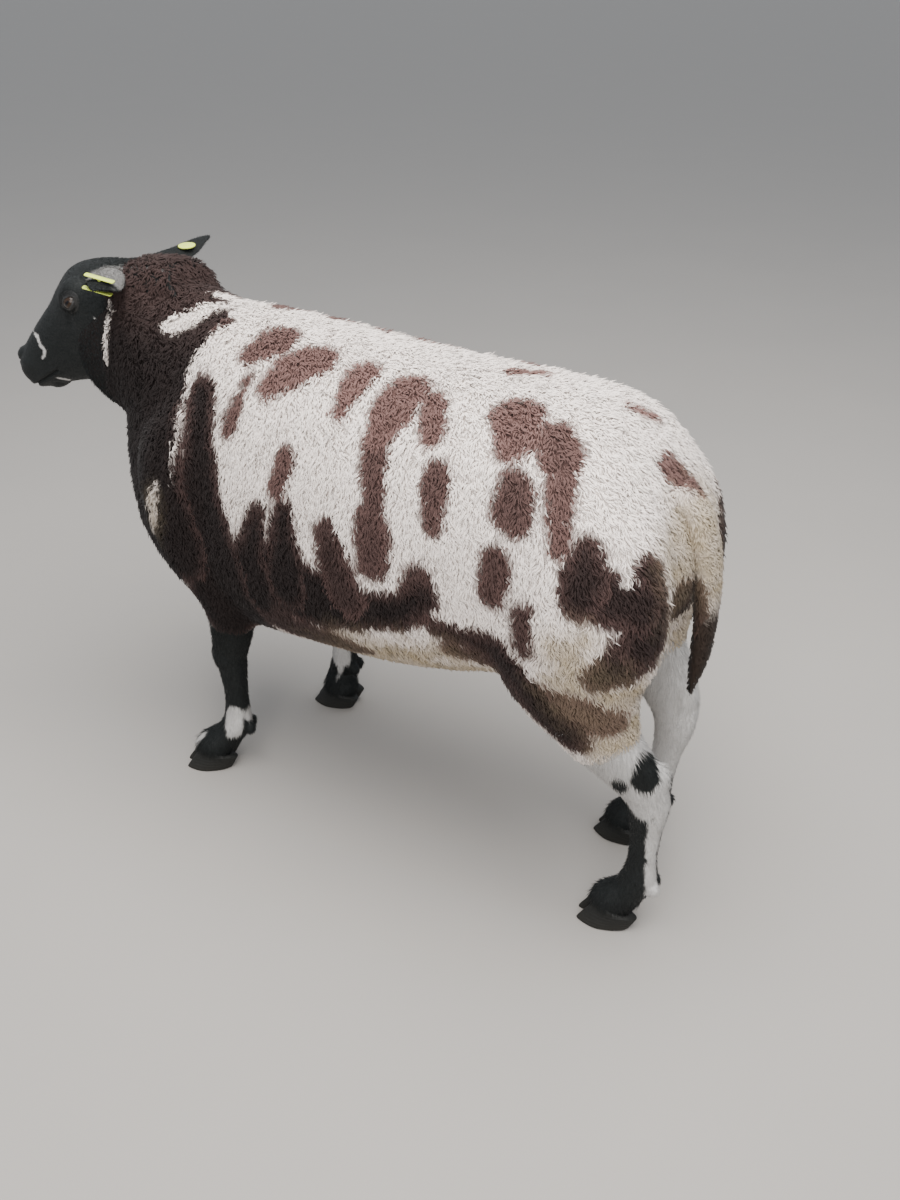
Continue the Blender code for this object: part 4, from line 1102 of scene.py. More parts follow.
def relief_group():
    """Surface relief from two sizes of grain."""
    if "Grain relief" in bpy.data.node_groups:
        return bpy.data.node_groups["Grain relief"]
    takes = [("Coarse scale", VALUE), ("Fine scale", VALUE), ("Fine share", VALUE)]
    group, start, end = group_with("Grain relief", takes, [("Height", VALUE)])
    where = put(group, "ShaderNodeNewGeometry")
    heights = []
    for label in ("Coarse scale", "Fine scale"):
        node = put(group, "ShaderNodeTexNoise")
        node.inputs["Detail"].default_value = 4.0
        group.links.new(where.outputs["Position"], node.inputs["Vector"])
        group.links.new(start.outputs[label], node.inputs["Scale"])
        heights.append(node.outputs["Fac"])
    fine = maths(group, "MULTIPLY", heights[1], start.outputs["Fine share"])
    group.links.new(maths(group, "ADD", heights[0], fine), end.inputs["Height"])
    return group


def add_relief(tree, shader, coarse, fine, share, distance):
    """Bump from the grain group into a shader's normal."""
    grain = put(tree, "ShaderNodeGroup", node_tree=relief_group())
    grain.inputs["Coarse scale"].default_value = coarse
    grain.inputs["Fine scale"].default_value = fine
    grain.inputs["Fine share"].default_value = share
    bump = put(tree, "ShaderNodeBump")
    bump.inputs["Strength"].default_value = 0.6
    bump.inputs["Distance"].default_value = distance
    tree.links.new(grain.outputs["Height"], bump.inputs["Height"])
    tree.links.new(bump.outputs["Normal"], shader.inputs["Normal"])
    return grain.outputs["Height"]


# The root value sets how far painted shade darkens the coat towards the roots of its tufts.
def coat_material(name, white, brown, black, stain, root_painted_shade, rough, sheen, relief=None):
    if name in bpy.data.materials:
        return bpy.data.materials[name]
    made, tree, shader = new_material(name)
    colour = put(tree, "ShaderNodeGroup", node_tree=coat_group())
    for label, value in (("White", white), ("Brown", brown), ("Black", black), ("Stain", stain)):
        colour.inputs[label].default_value = value
    colour.inputs["Root painted shade"].default_value = root_painted_shade
    tree.links.new(colour.outputs["Colour"], shader.inputs["Base Color"])
    gloss = maths(tree, "MULTIPLY_ADD", colour.outputs["Tone"], 0.16, rough - 0.08, clamp=True)
    tree.links.new(gloss, shader.inputs["Roughness"])
    shader.inputs["Specular IOR Level"].default_value = 0.20
    shader.inputs["Sheen Weight"].default_value = sheen
    shader.inputs["Sheen Roughness"].default_value = 0.45
    if relief:
        add_relief(tree, shader, *relief)
    return made


def wool_material():
    wool = bpy.context.scene.ram_fleece
    return coat_material("wool", wool.white, wool.brown, wool.black, wool.stain, 0.10, 0.90, 0.04)


def wool_skin_material():
    wool = bpy.context.scene.ram_fleece
    relief = (120.0, 420.0, 0.7, 0.004)
    return coat_material("wool ground", wool.white, wool.brown, wool.black, wool.stain, 0.08, 0.95, 0.0,
                         relief)


def hair_material():
    hair, wool = bpy.context.scene.ram_hair, bpy.context.scene.ram_fleece
    return coat_material("short hair", hair.white, wool.brown, hair.black, wool.stain, 0.25, 0.52, 0.02)


def hair_skin_material():
    hair, wool = bpy.context.scene.ram_hair, bpy.context.scene.ram_fleece
    relief = (220.0, 900.0, 0.8, 0.0016)
    return coat_material("haired skin", hair.white, wool.brown, hair.black, wool.stain, 0.10, 0.58, 0.03,
                         relief)


def coat_values(dark, black, stain, tone):
    """The coat's marks at each point; a mark that is the same everywhere is given as one number."""
    marks = [np.broadcast_to(np.clip(mark, 0, 1), tone.shape) for mark in (dark, black, stain)]
    return np.stack(marks + [tone], 1)


def add_piece(name, mesh, finish, slot, *stands_for):
    """Link a piece, give it its finish and let it ride with the ram."""
    piece = linked(name, mesh)
    piece.data.materials.append(finish)
    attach(piece, "root")
    if stands_for:
        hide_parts(*stands_for)
    return piece


def count_for(number):
    """The number of tufts, as it is given."""
    return number


def body_skin():
    meshes = [trunk("trunk", 60, 64, COAT_DEPTH)]
    for rows, key in ((HAM, "hind_right"), (ARM, "front_right")):
        start, end = LEG_SHIFT[key]
        meshes.append(limb("left_limb", rows, 24, 32, COAT_DEPTH))
        meshes.append(limb("right_limb", mirrored(rows, (start * 0.5, (start + end) / 2)), 24, 32,
                           COAT_DEPTH))
    meshes.append(limb("neck", NECK, 24, 40, COAT_DEPTH))
    meshes.append(egg("sheath", SHEATH[:3], [half - COAT_DEPTH * 0.5 for half in SHEATH[3:]]))
    return blend_masses("body", meshes, BODY_VOXEL, 60)


def tail_skin():
    return limb("tail", TAIL, 30, 20, 0.0090)


def tint_skin(mesh, dark, black, stain, draw):
    """Marks of the coat on the skin under it, which is then set in the model's own frame."""
    tone = 0.4 + 0.2 * draw.random(len(mesh.vertices))
    set_attribute(mesh, "coat", "FLOAT_COLOR", coat_values(dark, black, stain, tone))
    # The skin counts as lying deep in the coat, so the painted shade of the roots darkens it.
    set_attribute(mesh, "rise", "FLOAT", np.full(len(mesh.vertices), 0.35))
    mesh.shade_smooth()
    mesh.transform(Matrix.Translation(SHIFT))


def in_head(points):
    """True where a point lies inside the head, so that no wool roots there."""
    local = head_coords(points)
    rows = np.array(HEAD)
    s = local[:, 0]
    top = np.interp(s, rows[:, 0], rows[:, 1])
    bottom = np.interp(s, rows[:, 0], rows[:, 2])
    wide = np.interp(s, rows[:, 0], rows[:, 3])
    level, half = (top + bottom) / 2, (top - bottom) / 2
    inside = (local[:, 1] / wide) ** 2 + ((local[:, 2] - level) / half) ** 2 < 0.97
    return inside & (s > -0.055)


def creases(points):
    """1 in the narrow upright creases where the fleece parts; there the wool is shorter and its tone is
    lowered as painted shade.
    """
    waver = points + 0.010 * np.stack([noise(points, 38, 23), noise(points, 38, 24), np.zeros(len(points))],
                                      1)
    return ease(0.10, 0.03, np.abs(noise(waver * np.array([26.0, 46.0, 7.0]), 1.0, 21)))


def fleece_length(points):
    """Wool is shorter low on the limbs, on the belly, towards the head and in the creases."""
    share = np.ones(len(points))
    share *= 1 - 0.45 * ease(0.40, 0.31, points[:, 2])
    share *= 1 - 0.35 * ease(-0.44, -0.58, points[:, 1])
    share *= 1 - 0.35 * creases(points)
    share *= 1 + 0.10 * noise(points, 60, 22)
    return share


def bare_cheek(points):
    """True ahead of the line where the wool of the neck stops behind the cheeks, jaw and poll."""
    line = -0.534 - 0.22 * np.clip(0.66 - points[:, 2], 0, 1)
    return points[:, 1] < line + 0.003 * noise(points, 90, 25)


def on_poll(points):
    """True on the back of the head, where the wool of the neck runs on."""
    return ~bare_cheek(points) & (points[:, 2] > 0.68)


def wool_pieces(name, mesh, number, draw, scale=1.0, poll=False):
    """Wool on a skin, as pieces of less than 200,000 triangles."""
    wool = bpy.context.scene.ram_fleece
    roots, facing = strew(mesh, count_for(number), draw)
    keep = on_poll(roots) if poll else ~(in_head(roots) | bare_cheek(roots))
    roots, facing = roots[keep], facing[keep]
    first, second = fleece_ways(roots, facing, draw)
    share = scale * fleece_length(roots) * draw.uniform(0.85, 1.15, len(roots))
    length = wool.length * share
    middle = roots + (first * 0.5 + second * 0.25) * length[:, None]
    dark, black, stain = wool_marks(middle + draw.normal(0, 0.0024, roots.shape))
    # Tone varies at random from tuft to tuft, and is lowered in the creases as painted shade.
    tone = np.clip(draw.normal(0.5, 0.22, len(roots)) - 0.45 * creases(roots), 0, 1)
    coat = coat_values(dark, black, stain, tone)
    place = head_place(roots) if poll else barrel_place(roots, facing)
    parts = lock_arrays(roots, facing, first, second, length, wool.width * share ** 0.5, place, draw)
    return split_coat(name, parts, coat, facing, "fleece")


def split_coat(name, parts, coat, facing, slot):
    """Tufts as pieces that stay small enough, all with the same finish."""
    corners, bake, rise, faces = parts
    most = COAT_PIECE_TRIANGLES // len(faces)
    pieces = max(1, math.ceil(len(corners) / most))
    for i in range(pieces):
        chosen = slice(i * len(corners) // pieces, (i + 1) * len(corners) // pieces)
        label = name if pieces == 1 else f"{name}_{i + 1}"
        part = (corners[chosen], bake[chosen], rise[chosen], faces)
        mesh = coat_mesh(label, part, coat[chosen], facing[chosen], SKIN_SHADING[slot])
        finish = wool_material() if slot == "fleece" else hair_material()
        add_piece(label, mesh, finish, slot)


def hair_piece(name, roots, facing, way, long, width, place, coat, draw):
    """Fine straight hairs as a piece; the width may be one number for all."""
    width = np.broadcast_to(width, long.shape)
    parts = fibre_arrays(roots, facing, way, long, width, place, draw)
    split_coat(name, parts, coat, facing, "short_hair")


def jaw_hair(mesh, draw):
    """Short hair between the wool and the head."""
    hair = bpy.context.scene.ram_hair
    roots, facing = strew(mesh, count_for(JAW_HAIRS), draw)
    keep = bare_cheek(roots - np.array([0, 0.006, 0])) & ~in_head(roots)
    roots, facing = roots[keep], facing[keep]
    number = len(roots)
    way = unit(flow(facing, np.array([0.0, 0.8, -0.6])) + facing * 0.30 + draw.normal(0, 0.12, roots.shape))
    dark, black, stain = wool_marks(roots + draw.normal(0, 0.0006, roots.shape))
    coat = coat_values(dark, black, stain, draw.random(number))
    long = hair.length * draw.uniform(0.9, 1.5, number)
    place = barrel_place(roots, facing)
    hair_piece("jaw_hair", roots, facing, way, long, HAIR_WIDTH, place, coat, draw)


def make_fleece():
    """Skin of trunk, neck and tail, and the wool that stands on it."""
    draw = np.random.default_rng(5)
    wool = bpy.context.scene.ram_fleece
    skin = body_skin()
    wool_pieces("fleece_locks", skin, wool.locks, draw)
    jaw_hair(skin, draw)
    corners = arrays(skin)[0]
    tint_skin(skin, *wool_marks(corners), draw)
    add_piece("body_skin", skin, wool_skin_material(), "fleece", "torso", "neck")
    tail = tail_skin()
    wool_pieces("tail_locks", tail, wool.tail_locks, draw, 0.6)
    corners = arrays(tail)[0]
    tint_skin(tail, *wool_marks(corners), draw)
    add_piece("tail_skin", tail, wool_skin_material(), "fleece", "tail")


def make_legs():
    draw = np.random.default_rng(6)
    for key in FEET:
        skin = leg_skin(key)
        leg_hair(key, skin, draw)
        corners = arrays(skin)[0]
        white = leg_marks(corners, key)
        tint_skin(skin, 1 - white, 1.0, 0.0, draw)
        add_piece("leg_skin_" + key, skin, hair_skin_material(), "short_hair", "leg_" + key)


def leg_skin(key):
    """Skin of one leg, with its joint, fetlock, dew claws and coronet."""
    front = key.startswith("front")
    rows = leg_rows(key)
    point, axis = coronet(key)
    end = point + axis * 0.004
    rows = rows + [(end.x, end.y, end.z, 0.0285, 0.0240),
                   (end.x - axis.x * 0.010, end.y - axis.y * 0.010, end.z - axis.z * 0.010, 0.0275, 0.0235)]
    x, y, z, *halves = KNEE if front else HOCK
    start, stop = LEG_SHIFT[key]
    if key.endswith("right"):
        x = -x
        y += start + (stop - start) * 0.38
    meshes = [limb("leg", rows, 60, 32), egg("joint", (x, y, z), halves)]
    fetlock = leg_rows(key)[-2]
    turn = Matrix.Rotation(math.radians(FEET[key][2]), 4, "Z")
    side, back, height, *halves = DEW_CLAW
    for sign in (1, -1):
        place = turn @ Vector((sign * side, back, 0)) + Vector((fetlock[0], fetlock[1], height))
        meshes.append(egg("dew_claw", place, halves))
    return blend_masses("leg", meshes, LEG_VOXEL, 8)


def leg_hair(key, skin, draw):
    hair = bpy.context.scene.ram_hair
    number = count_for(hair.leg)
    roots, facing = strew(skin, number, draw)
    keep = roots[:, 2] > 0.030
    roots, facing = roots[keep], facing[keep]
    number = len(roots)
    lay = flow(facing, np.array([0.0, 0.15, -1.0]))
    lay = swirl(lay, facing, 0.35 * noise(roots, 90, 31))
    way = unit(lay + facing * 0.30 + draw.normal(0, 0.10, roots.shape))
    white = leg_marks(roots + draw.normal(0, 0.0008, roots.shape), key)
    coat = coat_values(1 - white, 1.0, 0.0, draw.random(number))
    longer = 0.9 * ease(0.22, 0.30, roots[:, 2]) + 0.9 * ease(0.062, 0.046, roots[:, 2])
    long = hair.length * (1 + longer) * draw.uniform(0.8, 1.2, number)
    place = leg_place(roots, key)
    hair_piece("leg_hair_" + key, roots, facing, way, long, HAIR_WIDTH, place, coat, draw)


def head_rings(rings, sides):
    poll, along, left, up = head_axes()
    out = []
    for s, top, bottom, wide in spline(HEAD, rings):
        level = top - (top - bottom) * 0.44
        centre = poll + along * s + up * level
        out.append(ring(centre, left, up, wide, top - level, level - bottom, sides, 2.2))
    return loft("head", out)


def head_skin():
    """The head, with the mouth, the nostrils and the pits of the eyes pressed into it."""
    meshes = [head_rings(70, 72)]
    for s, side, up, *halves in (ORBIT, CHEEK, LIP, NOSE_WING, CHIN):
        for sign in ((1, -1) if side else (1,)):
            meshes.append(egg("mass", on_head(s, sign * side, up), halves, head_turn()))
    mesh = blend_masses("head_skin", meshes, HEAD_VOXEL, 24)
    corners, tris, normals = arrays(mesh)
    local = head_coords(corners)
    moved = corners + normals * (face_relief(local))[:, None]
    face = BVHTree.FromPolygons([Vector(p) for p in moved], [tuple(tri) for tri in tris.tolist()])
    for sign in (1, -1):
        centre = np.array(eye_centre(sign))
        out = np.array(head_axes()[2]) * sign
        offset = moved - centre
        near = (np.linalg.norm(offset, axis=1) < EYE_RADIUS + 0.0020) & (offset @ out > -0.002)
        depth = offset @ out
        moved[near] -= out * (depth[near] * 1.9 + 0.004)[:, None]
    mesh.vertices.foreach_set("co", np.ascontiguousarray(moved, np.float32).ravel())
    mesh.update()
    return mesh, skin_reader(face)


def skin_reader(face):
    """A reader of how far the face stands out beside the middle of an eye."""
    left = head_axes()[2]

    def skin_at(along, up, sign):
        a, b, c = EYE_AT
        start = on_head(a + along, sign * (b + 0.060), c + up)
        hit = face.ray_cast(start, left * -sign)[0]
        if hit is None:
            raise ValueError("the lids reach past the face")
        return 0.060 - (hit - start).length

    return skin_at


def gauss(x, width):
    return np.exp(-(x / width) ** 2)


def face_relief(local):
    """How far the skin rises or sinks at each point of the head: lips, nostrils, nose groove, tear groove."""
    s, side, up = local[:, 0], np.abs(local[:, 1]), local[:, 2]
    rise = np.zeros(len(s))
    line = np.interp(s, [MOUTH_CORNER, 0.33], [MOUTH_CORNER_UP, MOUTH_FRONT_UP])
    inside = ease(MOUTH_CORNER - 0.004, MOUTH_CORNER + 0.006, s)
    rise -= 0.0042 * gauss(up - line, 0.0016) * inside
    rise += 0.0013 * (gauss(up - line - 0.0055, 0.0035) + gauss(up - line + 0.0050, 0.0032)) * inside
    _, b, c = NOSTRIL
    along = (up - c) * 0.80 + (side - b) * 0.60
    across = (side - b) * 0.80 - (up - c) * 0.60
    bend = across - 6.0 * along ** 2 * 10
    front = ease(0.290, 0.302, s)
    rise -= 0.0085 * gauss(bend, 0.0030) * gauss(along, 0.0088) * front
    rise += 0.0016 * gauss(np.hypot(bend * 1.4, along) - 0.0105, 0.0030) * front
    upright = ease(0.296, 0.306, s) * ease(-0.050, -0.040, up) * ease(0.004, -0.004, up)
    rise -= 0.0022 * gauss(side, 0.0016) * upright
    tear = gauss(s - 0.135 - (up + 0.01) * -0.4, 0.008) * gauss(up + 0.014, 0.010)
    rise -= 0.0020 * tear * ease(0.03, 0.04, side)
    rise += 0.0018 * gauss(s - 0.200, 0.050) * gauss(side - 0.020, 0.010) * ease(-0.01, 0.01, up)
    return rise


def make_head():
    draw = np.random.default_rng(7)
    mesh, skin_at = head_skin()
    wool_pieces("poll_wool", mesh, POLL_LOCKS, np.random.default_rng(8), poll=True)
    head_hair(mesh, draw)
    corners = arrays(mesh)[0]
    white, pale = face_marks(corners)
    tint_skin(mesh, 1 - np.maximum(white, PALE_GREY * pale), 1.0, 0.0, draw)
    add_piece("head_skin", mesh, hair_skin_material(), "short_hair", "head")
    for side, sign in SIDES:
        make_lids(side, sign, skin_at, draw)


def bare_muzzle(local):
    """1 where the head is bare: the wet end of the nose and the lips."""
    end = ease(0.302, 0.310, local[:, 0]) * ease(-0.045, -0.035, local[:, 2])
    return end * ease(0.034, 0.028, np.abs(local[:, 1]))


def head_hair(mesh, draw):
    hair = bpy.context.scene.ram_hair
    roots, facing = strew(mesh, count_for(hair.face), draw)
    local = head_coords(roots)
    eye = np.stack([local[:, 0] - EYE_AT[0], np.abs(local[:, 1]) - EYE_AT[1], local[:, 2] - EYE_AT[2]], 1)
    keep = (np.linalg.norm(eye, axis=1) > EYE_RADIUS + 0.004) & (draw.random(len(roots)) > bare_muzzle(local))
    keep &= ~on_poll(roots)
    roots, facing, local = roots[keep], facing[keep], local[keep]
    number = len(roots)
    _, along, left, _ = head_axes()
    fall = -np.array(along)[None] * 0.9 + np.array([[0, 0.0, -0.55]])
    fall = np.repeat(fall, number, axis=0)
    nose = ease(0.16, 0.24, local[:, 0])[:, None]
    outward = np.array(left)[None] * np.sign(local[:, 1:2]) * 0.5
    fall = fall * (1 - nose) + (-np.array(along)[None] + outward) * nose
    lay = swirl(flow(facing, fall), facing, 0.4 * noise(roots, 60, 41))
    way = unit(lay + facing * 0.26 + draw.normal(0, 0.10, roots.shape))
    white, pale = face_marks(roots + draw.normal(0, 0.0005, roots.shape))
    coat = coat_values(1 - np.maximum(white, PALE_GREY * pale), 1.0, 0.0, draw.random(number))
    longer = ease(0.10, 0.0, local[:, 0])
    share = 0.62 - 0.25 * ease(0.2, 0.3, local[:, 0]) + 0.9 * longer
    long = hair.length * share * draw.uniform(0.8, 1.2, number)
    width = FACE_HAIR_WIDTH + 0.0006 * longer
    hair_piece("head_hair", roots, facing, way, long, width, head_place(roots), coat, draw)


def lid_point(turn, reach, lift, sign, skin_at):
    """A point of the lids, from its direction round the eye, share of the way to the rim and lift."""
    c, s = math.cos(turn), math.sin(turn)
    edge = Vector((LID_HALF[0] * c, LID_HALF[1] * s * (1 - 0.35 * c * c)))
    flat = edge.lerp(Vector((LID_RIM[0] * c, LID_RIM[1] * s)), reach)
    ball = math.sqrt(max(EYE_RADIUS ** 2 - flat.length_squared, 0.0))
    along, up = flat.x + flat.y * 0.10, flat.y - flat.x * 0.18
    skin = skin_at(along, up, sign)
    blend = min(1.0, max(0.0, (reach - 0.30) / 0.70)) ** 1.5
    depth = max(ball + lift, skin + lift * 0.5) * (1 - blend) + (skin - 0.0006) * blend
    a, b, c0 = EYE_AT
    return on_head(a + along, sign * (b + depth), c0 + up)


def make_lids(side, sign, skin_at, draw):
    """Upper and lower lid as one soft rim round the slit, running out into the skin of the face."""
    form = bmesh.new()
    sides = 64
    rows = []
    for reach, lift in LID_STEPS:
        rows.append([form.verts.new(lid_point(2 * math.pi * i / sides, reach, lift, sign, skin_at))
                     for i in range(sides)])
    join_rows(form, rows)
    bmesh.ops.recalc_face_normals(form, faces=form.faces)
    mesh = mesh_from(form, "lids")
    normals = arrays(mesh)[2]
    if (normals.mean(0) @ np.array(head_axes()[2])) * sign < 0:
        mesh.flip_normals()
    lid_hair(side, mesh, draw)
    tint_skin(mesh, 1.0, 1.0, 0.0, draw)
    piece = add_piece("eyelids_" + side, mesh, lid_material(), "short_hair")
    round_off = piece.modifiers.new("soften", "SUBSURF")
    round_off.levels = 1
    round_off.render_levels = 1


def lid_hair(side, mesh, draw):
    """Short hair on the lids, away from their bare edges."""
    hair = bpy.context.scene.ram_hair
    roots, facing = strew(mesh, count_for(LID_HAIRS), draw)
    local = head_coords(roots)
    along = (local[:, 0] - EYE_AT[0]) / (LID_HALF[0] + 0.004)
    up = (local[:, 2] - EYE_AT[2]) / (LID_HALF[1] + 0.004)
    keep = np.hypot(along, up) > 1.0
    roots, facing = roots[keep], facing[keep]
    number = len(roots)
    fall = np.array([0, 0, -0.3]) - np.array(head_axes()[1])
    way = unit(flow(facing, fall) + facing * 0.22 + draw.normal(0, 0.12, roots.shape))
    coat = coat_values(1.0, 1.0, 0.0, draw.random(number))
    long = hair.length * 0.45 * draw.uniform(0.8, 1.2, number)
    place = head_place(roots)
    hair_piece("lid_hair_" + side, roots, facing, way, long, LID_HAIR_WIDTH, place, coat, draw)


def lid_material():
    name = "bare dark skin"
    if name in bpy.data.materials:
        return bpy.data.materials[name]
    made, tree, shader = new_material(name)
    grain = noise_node(tree, 900.0, 3.0)
    colour = mix_colour(tree, grain, (0.007, 0.007, 0.007, 1.0), (0.018, 0.017, 0.016, 1.0))
    tree.links.new(colour, shader.inputs["Base Color"])
    tree.links.new(maths(tree, "MULTIPLY_ADD", grain, 0.3, 0.25), shader.inputs["Roughness"])
    add_relief(tree, shader, 500.0, 1500.0, 0.6, 0.0006)
    return made


def make_eyes():
    for side, sign in SIDES:
        centre = eye_centre(sign)
        _, along, left, up = head_axes()
        out = left * sign
        form = bmesh.new()
        bmesh.ops.create_uvsphere(form, u_segments=64, v_segments=40, radius=1.0)
        gaze = [(v.co.x, v.co.y, v.co.z) for v in form.verts]
        for vert in form.verts:
            x, y, z = vert.co
            swell = 1.0 + 0.05 * max(0.0, z - 0.72) / 0.28
            vert.co = centre + (along * x + up * y + out * z) * (EYE_RADIUS * swell)
        bmesh.ops.recalc_face_normals(form, faces=form.faces)
        mesh = mesh_from(form, "eye")
        set_attribute(mesh, "gaze", "FLOAT_VECTOR", np.array(gaze))
        mesh.shade_smooth()
        mesh.transform(Matrix.Translation(SHIFT))
        add_piece("eyeball_" + side, mesh, eye_material(), "eye", "eye_" + side)


def eye_material():
    """Brown iris with a level slot pupil, dark white of the eye, wet shine."""
    name = "wet eye"
    if name in bpy.data.materials:
        return bpy.data.materials[name]
    made, tree, shader = new_material(name)
    gaze = put(tree, "ShaderNodeAttribute", attribute_name="gaze")
    split = put(tree, "ShaderNodeSeparateXYZ")
    tree.links.new(gaze.outputs["Vector"], split.inputs[0])
    along = maths(tree, "ABSOLUTE", split.outputs[0])
    high = maths(tree, "ABSOLUTE", maths(tree, "MULTIPLY_ADD", split.outputs[0], 0.18, split.outputs[1]))
    front = maths(tree, "GREATER_THAN", split.outputs[2], 0.0)
    slot = maths(tree, "POWER", maths(tree, "DIVIDE", along, 0.36), 4.0)
    slot = maths(tree, "ADD", slot, maths(tree, "POWER", maths(tree, "DIVIDE", high, 0.13), 4.0))
    pupil = maths(tree, "MULTIPLY", maths(tree, "LESS_THAN", slot, 1.0), front)
    far = maths(tree, "SQRT", maths(tree, "ADD", maths(tree, "POWER", split.outputs[0], 2.0),
                                    maths(tree, "POWER", split.outputs[1], 2.0)))
    edge = maths(tree, "MULTIPLY", maths(tree, "SUBTRACT", far, 0.60), 14.0, clamp=True)
    streak = noise_node(tree, 1600.0, 4.0)
    iris = bpy.context.scene.ram_trim.iris
    brown = mix_colour(tree, streak, (iris[0] * 0.35, iris[1] * 0.3, iris[2] * 0.3, 1.0), tuple(iris))
    colour = mix_colour(tree, edge, brown, (0.03, 0.018, 0.012, 1.0))
    colour = mix_colour(tree, pupil, colour, (0.002, 0.002, 0.003, 1.0))
    tree.links.new(colour, shader.inputs["Base Color"])
    shader.inputs["Roughness"].default_value = 0.30
    shader.inputs["Specular IOR Level"].default_value = 0.15
    shader.inputs["Coat Weight"].default_value = 0.7
    shader.inputs["Coat IOR"].default_value = 1.36
    shader.inputs["Coat Roughness"].default_value = 0.02
    return made


def ear_frame(side):
    """Frame at the ear's root whose Z runs out along the ear and Y towards its open front."""
    sign = 1 if side == "left" else -1
    along = head_axes()[1]
    along_head, aside, up = EAR_ROOT[side]
    root = on_head(along_head, sign * aside, up)
    z = Vector(EAR_AIM[side]).normalized()
    x = along.cross(z).normalized()
    turn = Matrix((x, z.cross(x), z)).transposed().to_4x4()
    turn.translation = root
    return turn @ Matrix.Rotation(math.radians(EAR_ROLL[side]), 4, "Z")


def ear_section(t):
    """Half width, half thickness and depth of the cup at a share of the ear's length."""
    swell = math.sin(math.pi * min(1.0, 0.12 + 0.80 * t)) ** 0.8
    wide = EAR_WIDTH / 2 * (0.42 + 0.62 * swell) * (1 - 0.80 * t ** 3.2)
    thick = EAR_THICK / 2 * (2.4 - 1.6 * min(1.0, t * 2.2))
    cup = 0.34 * wide * math.sin(math.pi * min(1.0, t + 0.12))
    return wide, thick, cup


def ear_skin(side):
    frame = ear_frame(side)
    rings = []
    steps = 46
    for i in range(steps):
        z = -EAR_SUNK + (EAR_LENGTH + EAR_SUNK) * i / (steps - 1)
        wide, thick, cup = ear_section(max(0.0, z / EAR_LENGTH))
        end = math.sqrt(max(0.0, 1 - (max(0.0, z / EAR_LENGTH - 0.90) / 0.10) ** 2)) * 0.75 + 0.25
        points = []
        for k in range(36):
            turn = 2 * math.pi * k / 36
            x = wide * end * math.cos(turn)
            rim = 0.0006 * abs(math.cos(turn)) ** 8
            y = (thick * 0.82 + rim) * math.sin(turn) + cup * (x / wide) ** 2
            points.append(frame @ Vector((x, y, z)))
        rings.append(points)
    return loft("ear", rings)


def make_ears():
    draw = np.random.default_rng(9)
    for side in ("left", "right"):
        mesh = ear_skin(side)
        ear_hair(side, mesh, draw)
        tint_skin(mesh, 1 - ear_pale(arrays(mesh)[0], side), 1.0, 0.0, draw)
        add_piece("ear_skin_" + side, mesh, hair_skin_material(), "short_hair", "ear_" + side)


def ear_coords(points, side):
    """Points in the frame of an ear."""
    inverse = np.array(ear_frame(side).inverted())
    return points @ inverse[:3, :3].T + inverse[:3, 3]


def ear_pale(points, side):
    """The grey-white patch at the root of the left ear."""
    if side == "right":
        return np.zeros(len(points))
    out = ear_coords(points, side)[:, 2]
    return 0.40 * ease(0.070, 0.045, out + 0.012 * noise(points, 90, 51))


def ear_hair(side, mesh, draw):
    hair = bpy.context.scene.ram_hair
    number = count_for(EAR_HAIRS)
    roots, facing = strew(mesh, number, draw)
    out = np.array(ear_frame(side).to_3x3() @ Vector((0, 0, 1)))
    lay = flow(facing, out)
    lay = swirl(lay, facing, 0.5 * noise(roots, 90, 52))
    way = unit(lay + facing * 0.28 + draw.normal(0, 0.14, roots.shape))
    coat = coat_values(1 - ear_pale(roots, side), 1.0, 0.0, draw.random(number))
    long = hair.length * 0.75 * draw.uniform(0.7, 1.25, number)
    local = ear_coords(roots, side)
    place = round_place(local[:, 0], local[:, 1] - 0.004, inside_margin((local[:, 2] + 0.01) / 0.13))
    hair_piece("ear_hair_" + side, roots, facing, way, long, FACE_HAIR_WIDTH, place, coat, draw)


def make_scrotum():
    draw = np.random.default_rng(10)
    mesh = limb("scrotum", SCROTUM, 40, 40, 0.002)
    corners, _, normals = arrays(mesh)
    raphe = 0.0022 * gauss(corners[:, 0], 0.004)
    moved = corners - normals * raphe[:, None]
    mesh.vertices.foreach_set("co", np.ascontiguousarray(moved, np.float32).ravel())
    mesh.update()
    number = count_for(SCROTUM_HAIRS)
    roots, facing = strew(mesh, number, draw)
    lay = flow(facing, np.array([0.0, 0.1, -1.0]))
    way = unit(lay + facing * 0.45 + draw.normal(0, 0.15, roots.shape))
    dark = 0.45 + 0.4 * noise(roots, 30, 61)
    coat = coat_values(dark, 0.4, 0.5, draw.random(number))
    place = round_place(roots[:, 0], roots[:, 1] - 0.25, (roots[:, 2] - 0.19) / 0.17)
    long = 0.010 * draw.uniform(0.7, 1.3, number)
    hair_piece("scrotum_hair", roots, facing, way, long, SCROTUM_HAIR_WIDTH, place, coat, draw)
    tint_skin(mesh, 0.6, 0.4, 0.5, draw)
    add_piece("scrotum_skin", mesh, hair_skin_material(), "short_hair", "scrotum")


def claw(sign):
    """One claw as rings from the sole up: flat sole, bevelled edge, sloping wall."""
    half = HOOF_WIDTH / 2
    rings = []
    for level, spread in CLAW_RINGS:
        points = []
        for t in range(40):
            turn = 2 * math.pi * t / 40
            along, out = math.cos(turn), math.sin(turn)
            y = -along * HOOF_LENGTH / 2 * spread + level * 0.62
            width = half * spread * (1.0 if along < 0.2 else 1.0 - 0.42 * (along - 0.2) ** 1.4)
            x = CLEFT / 2 + (width - CLEFT / 2) * (0.5 + 0.5 * out)
            points.append(Vector((sign * x, y, level)))
        rings.append(points)
    return rings


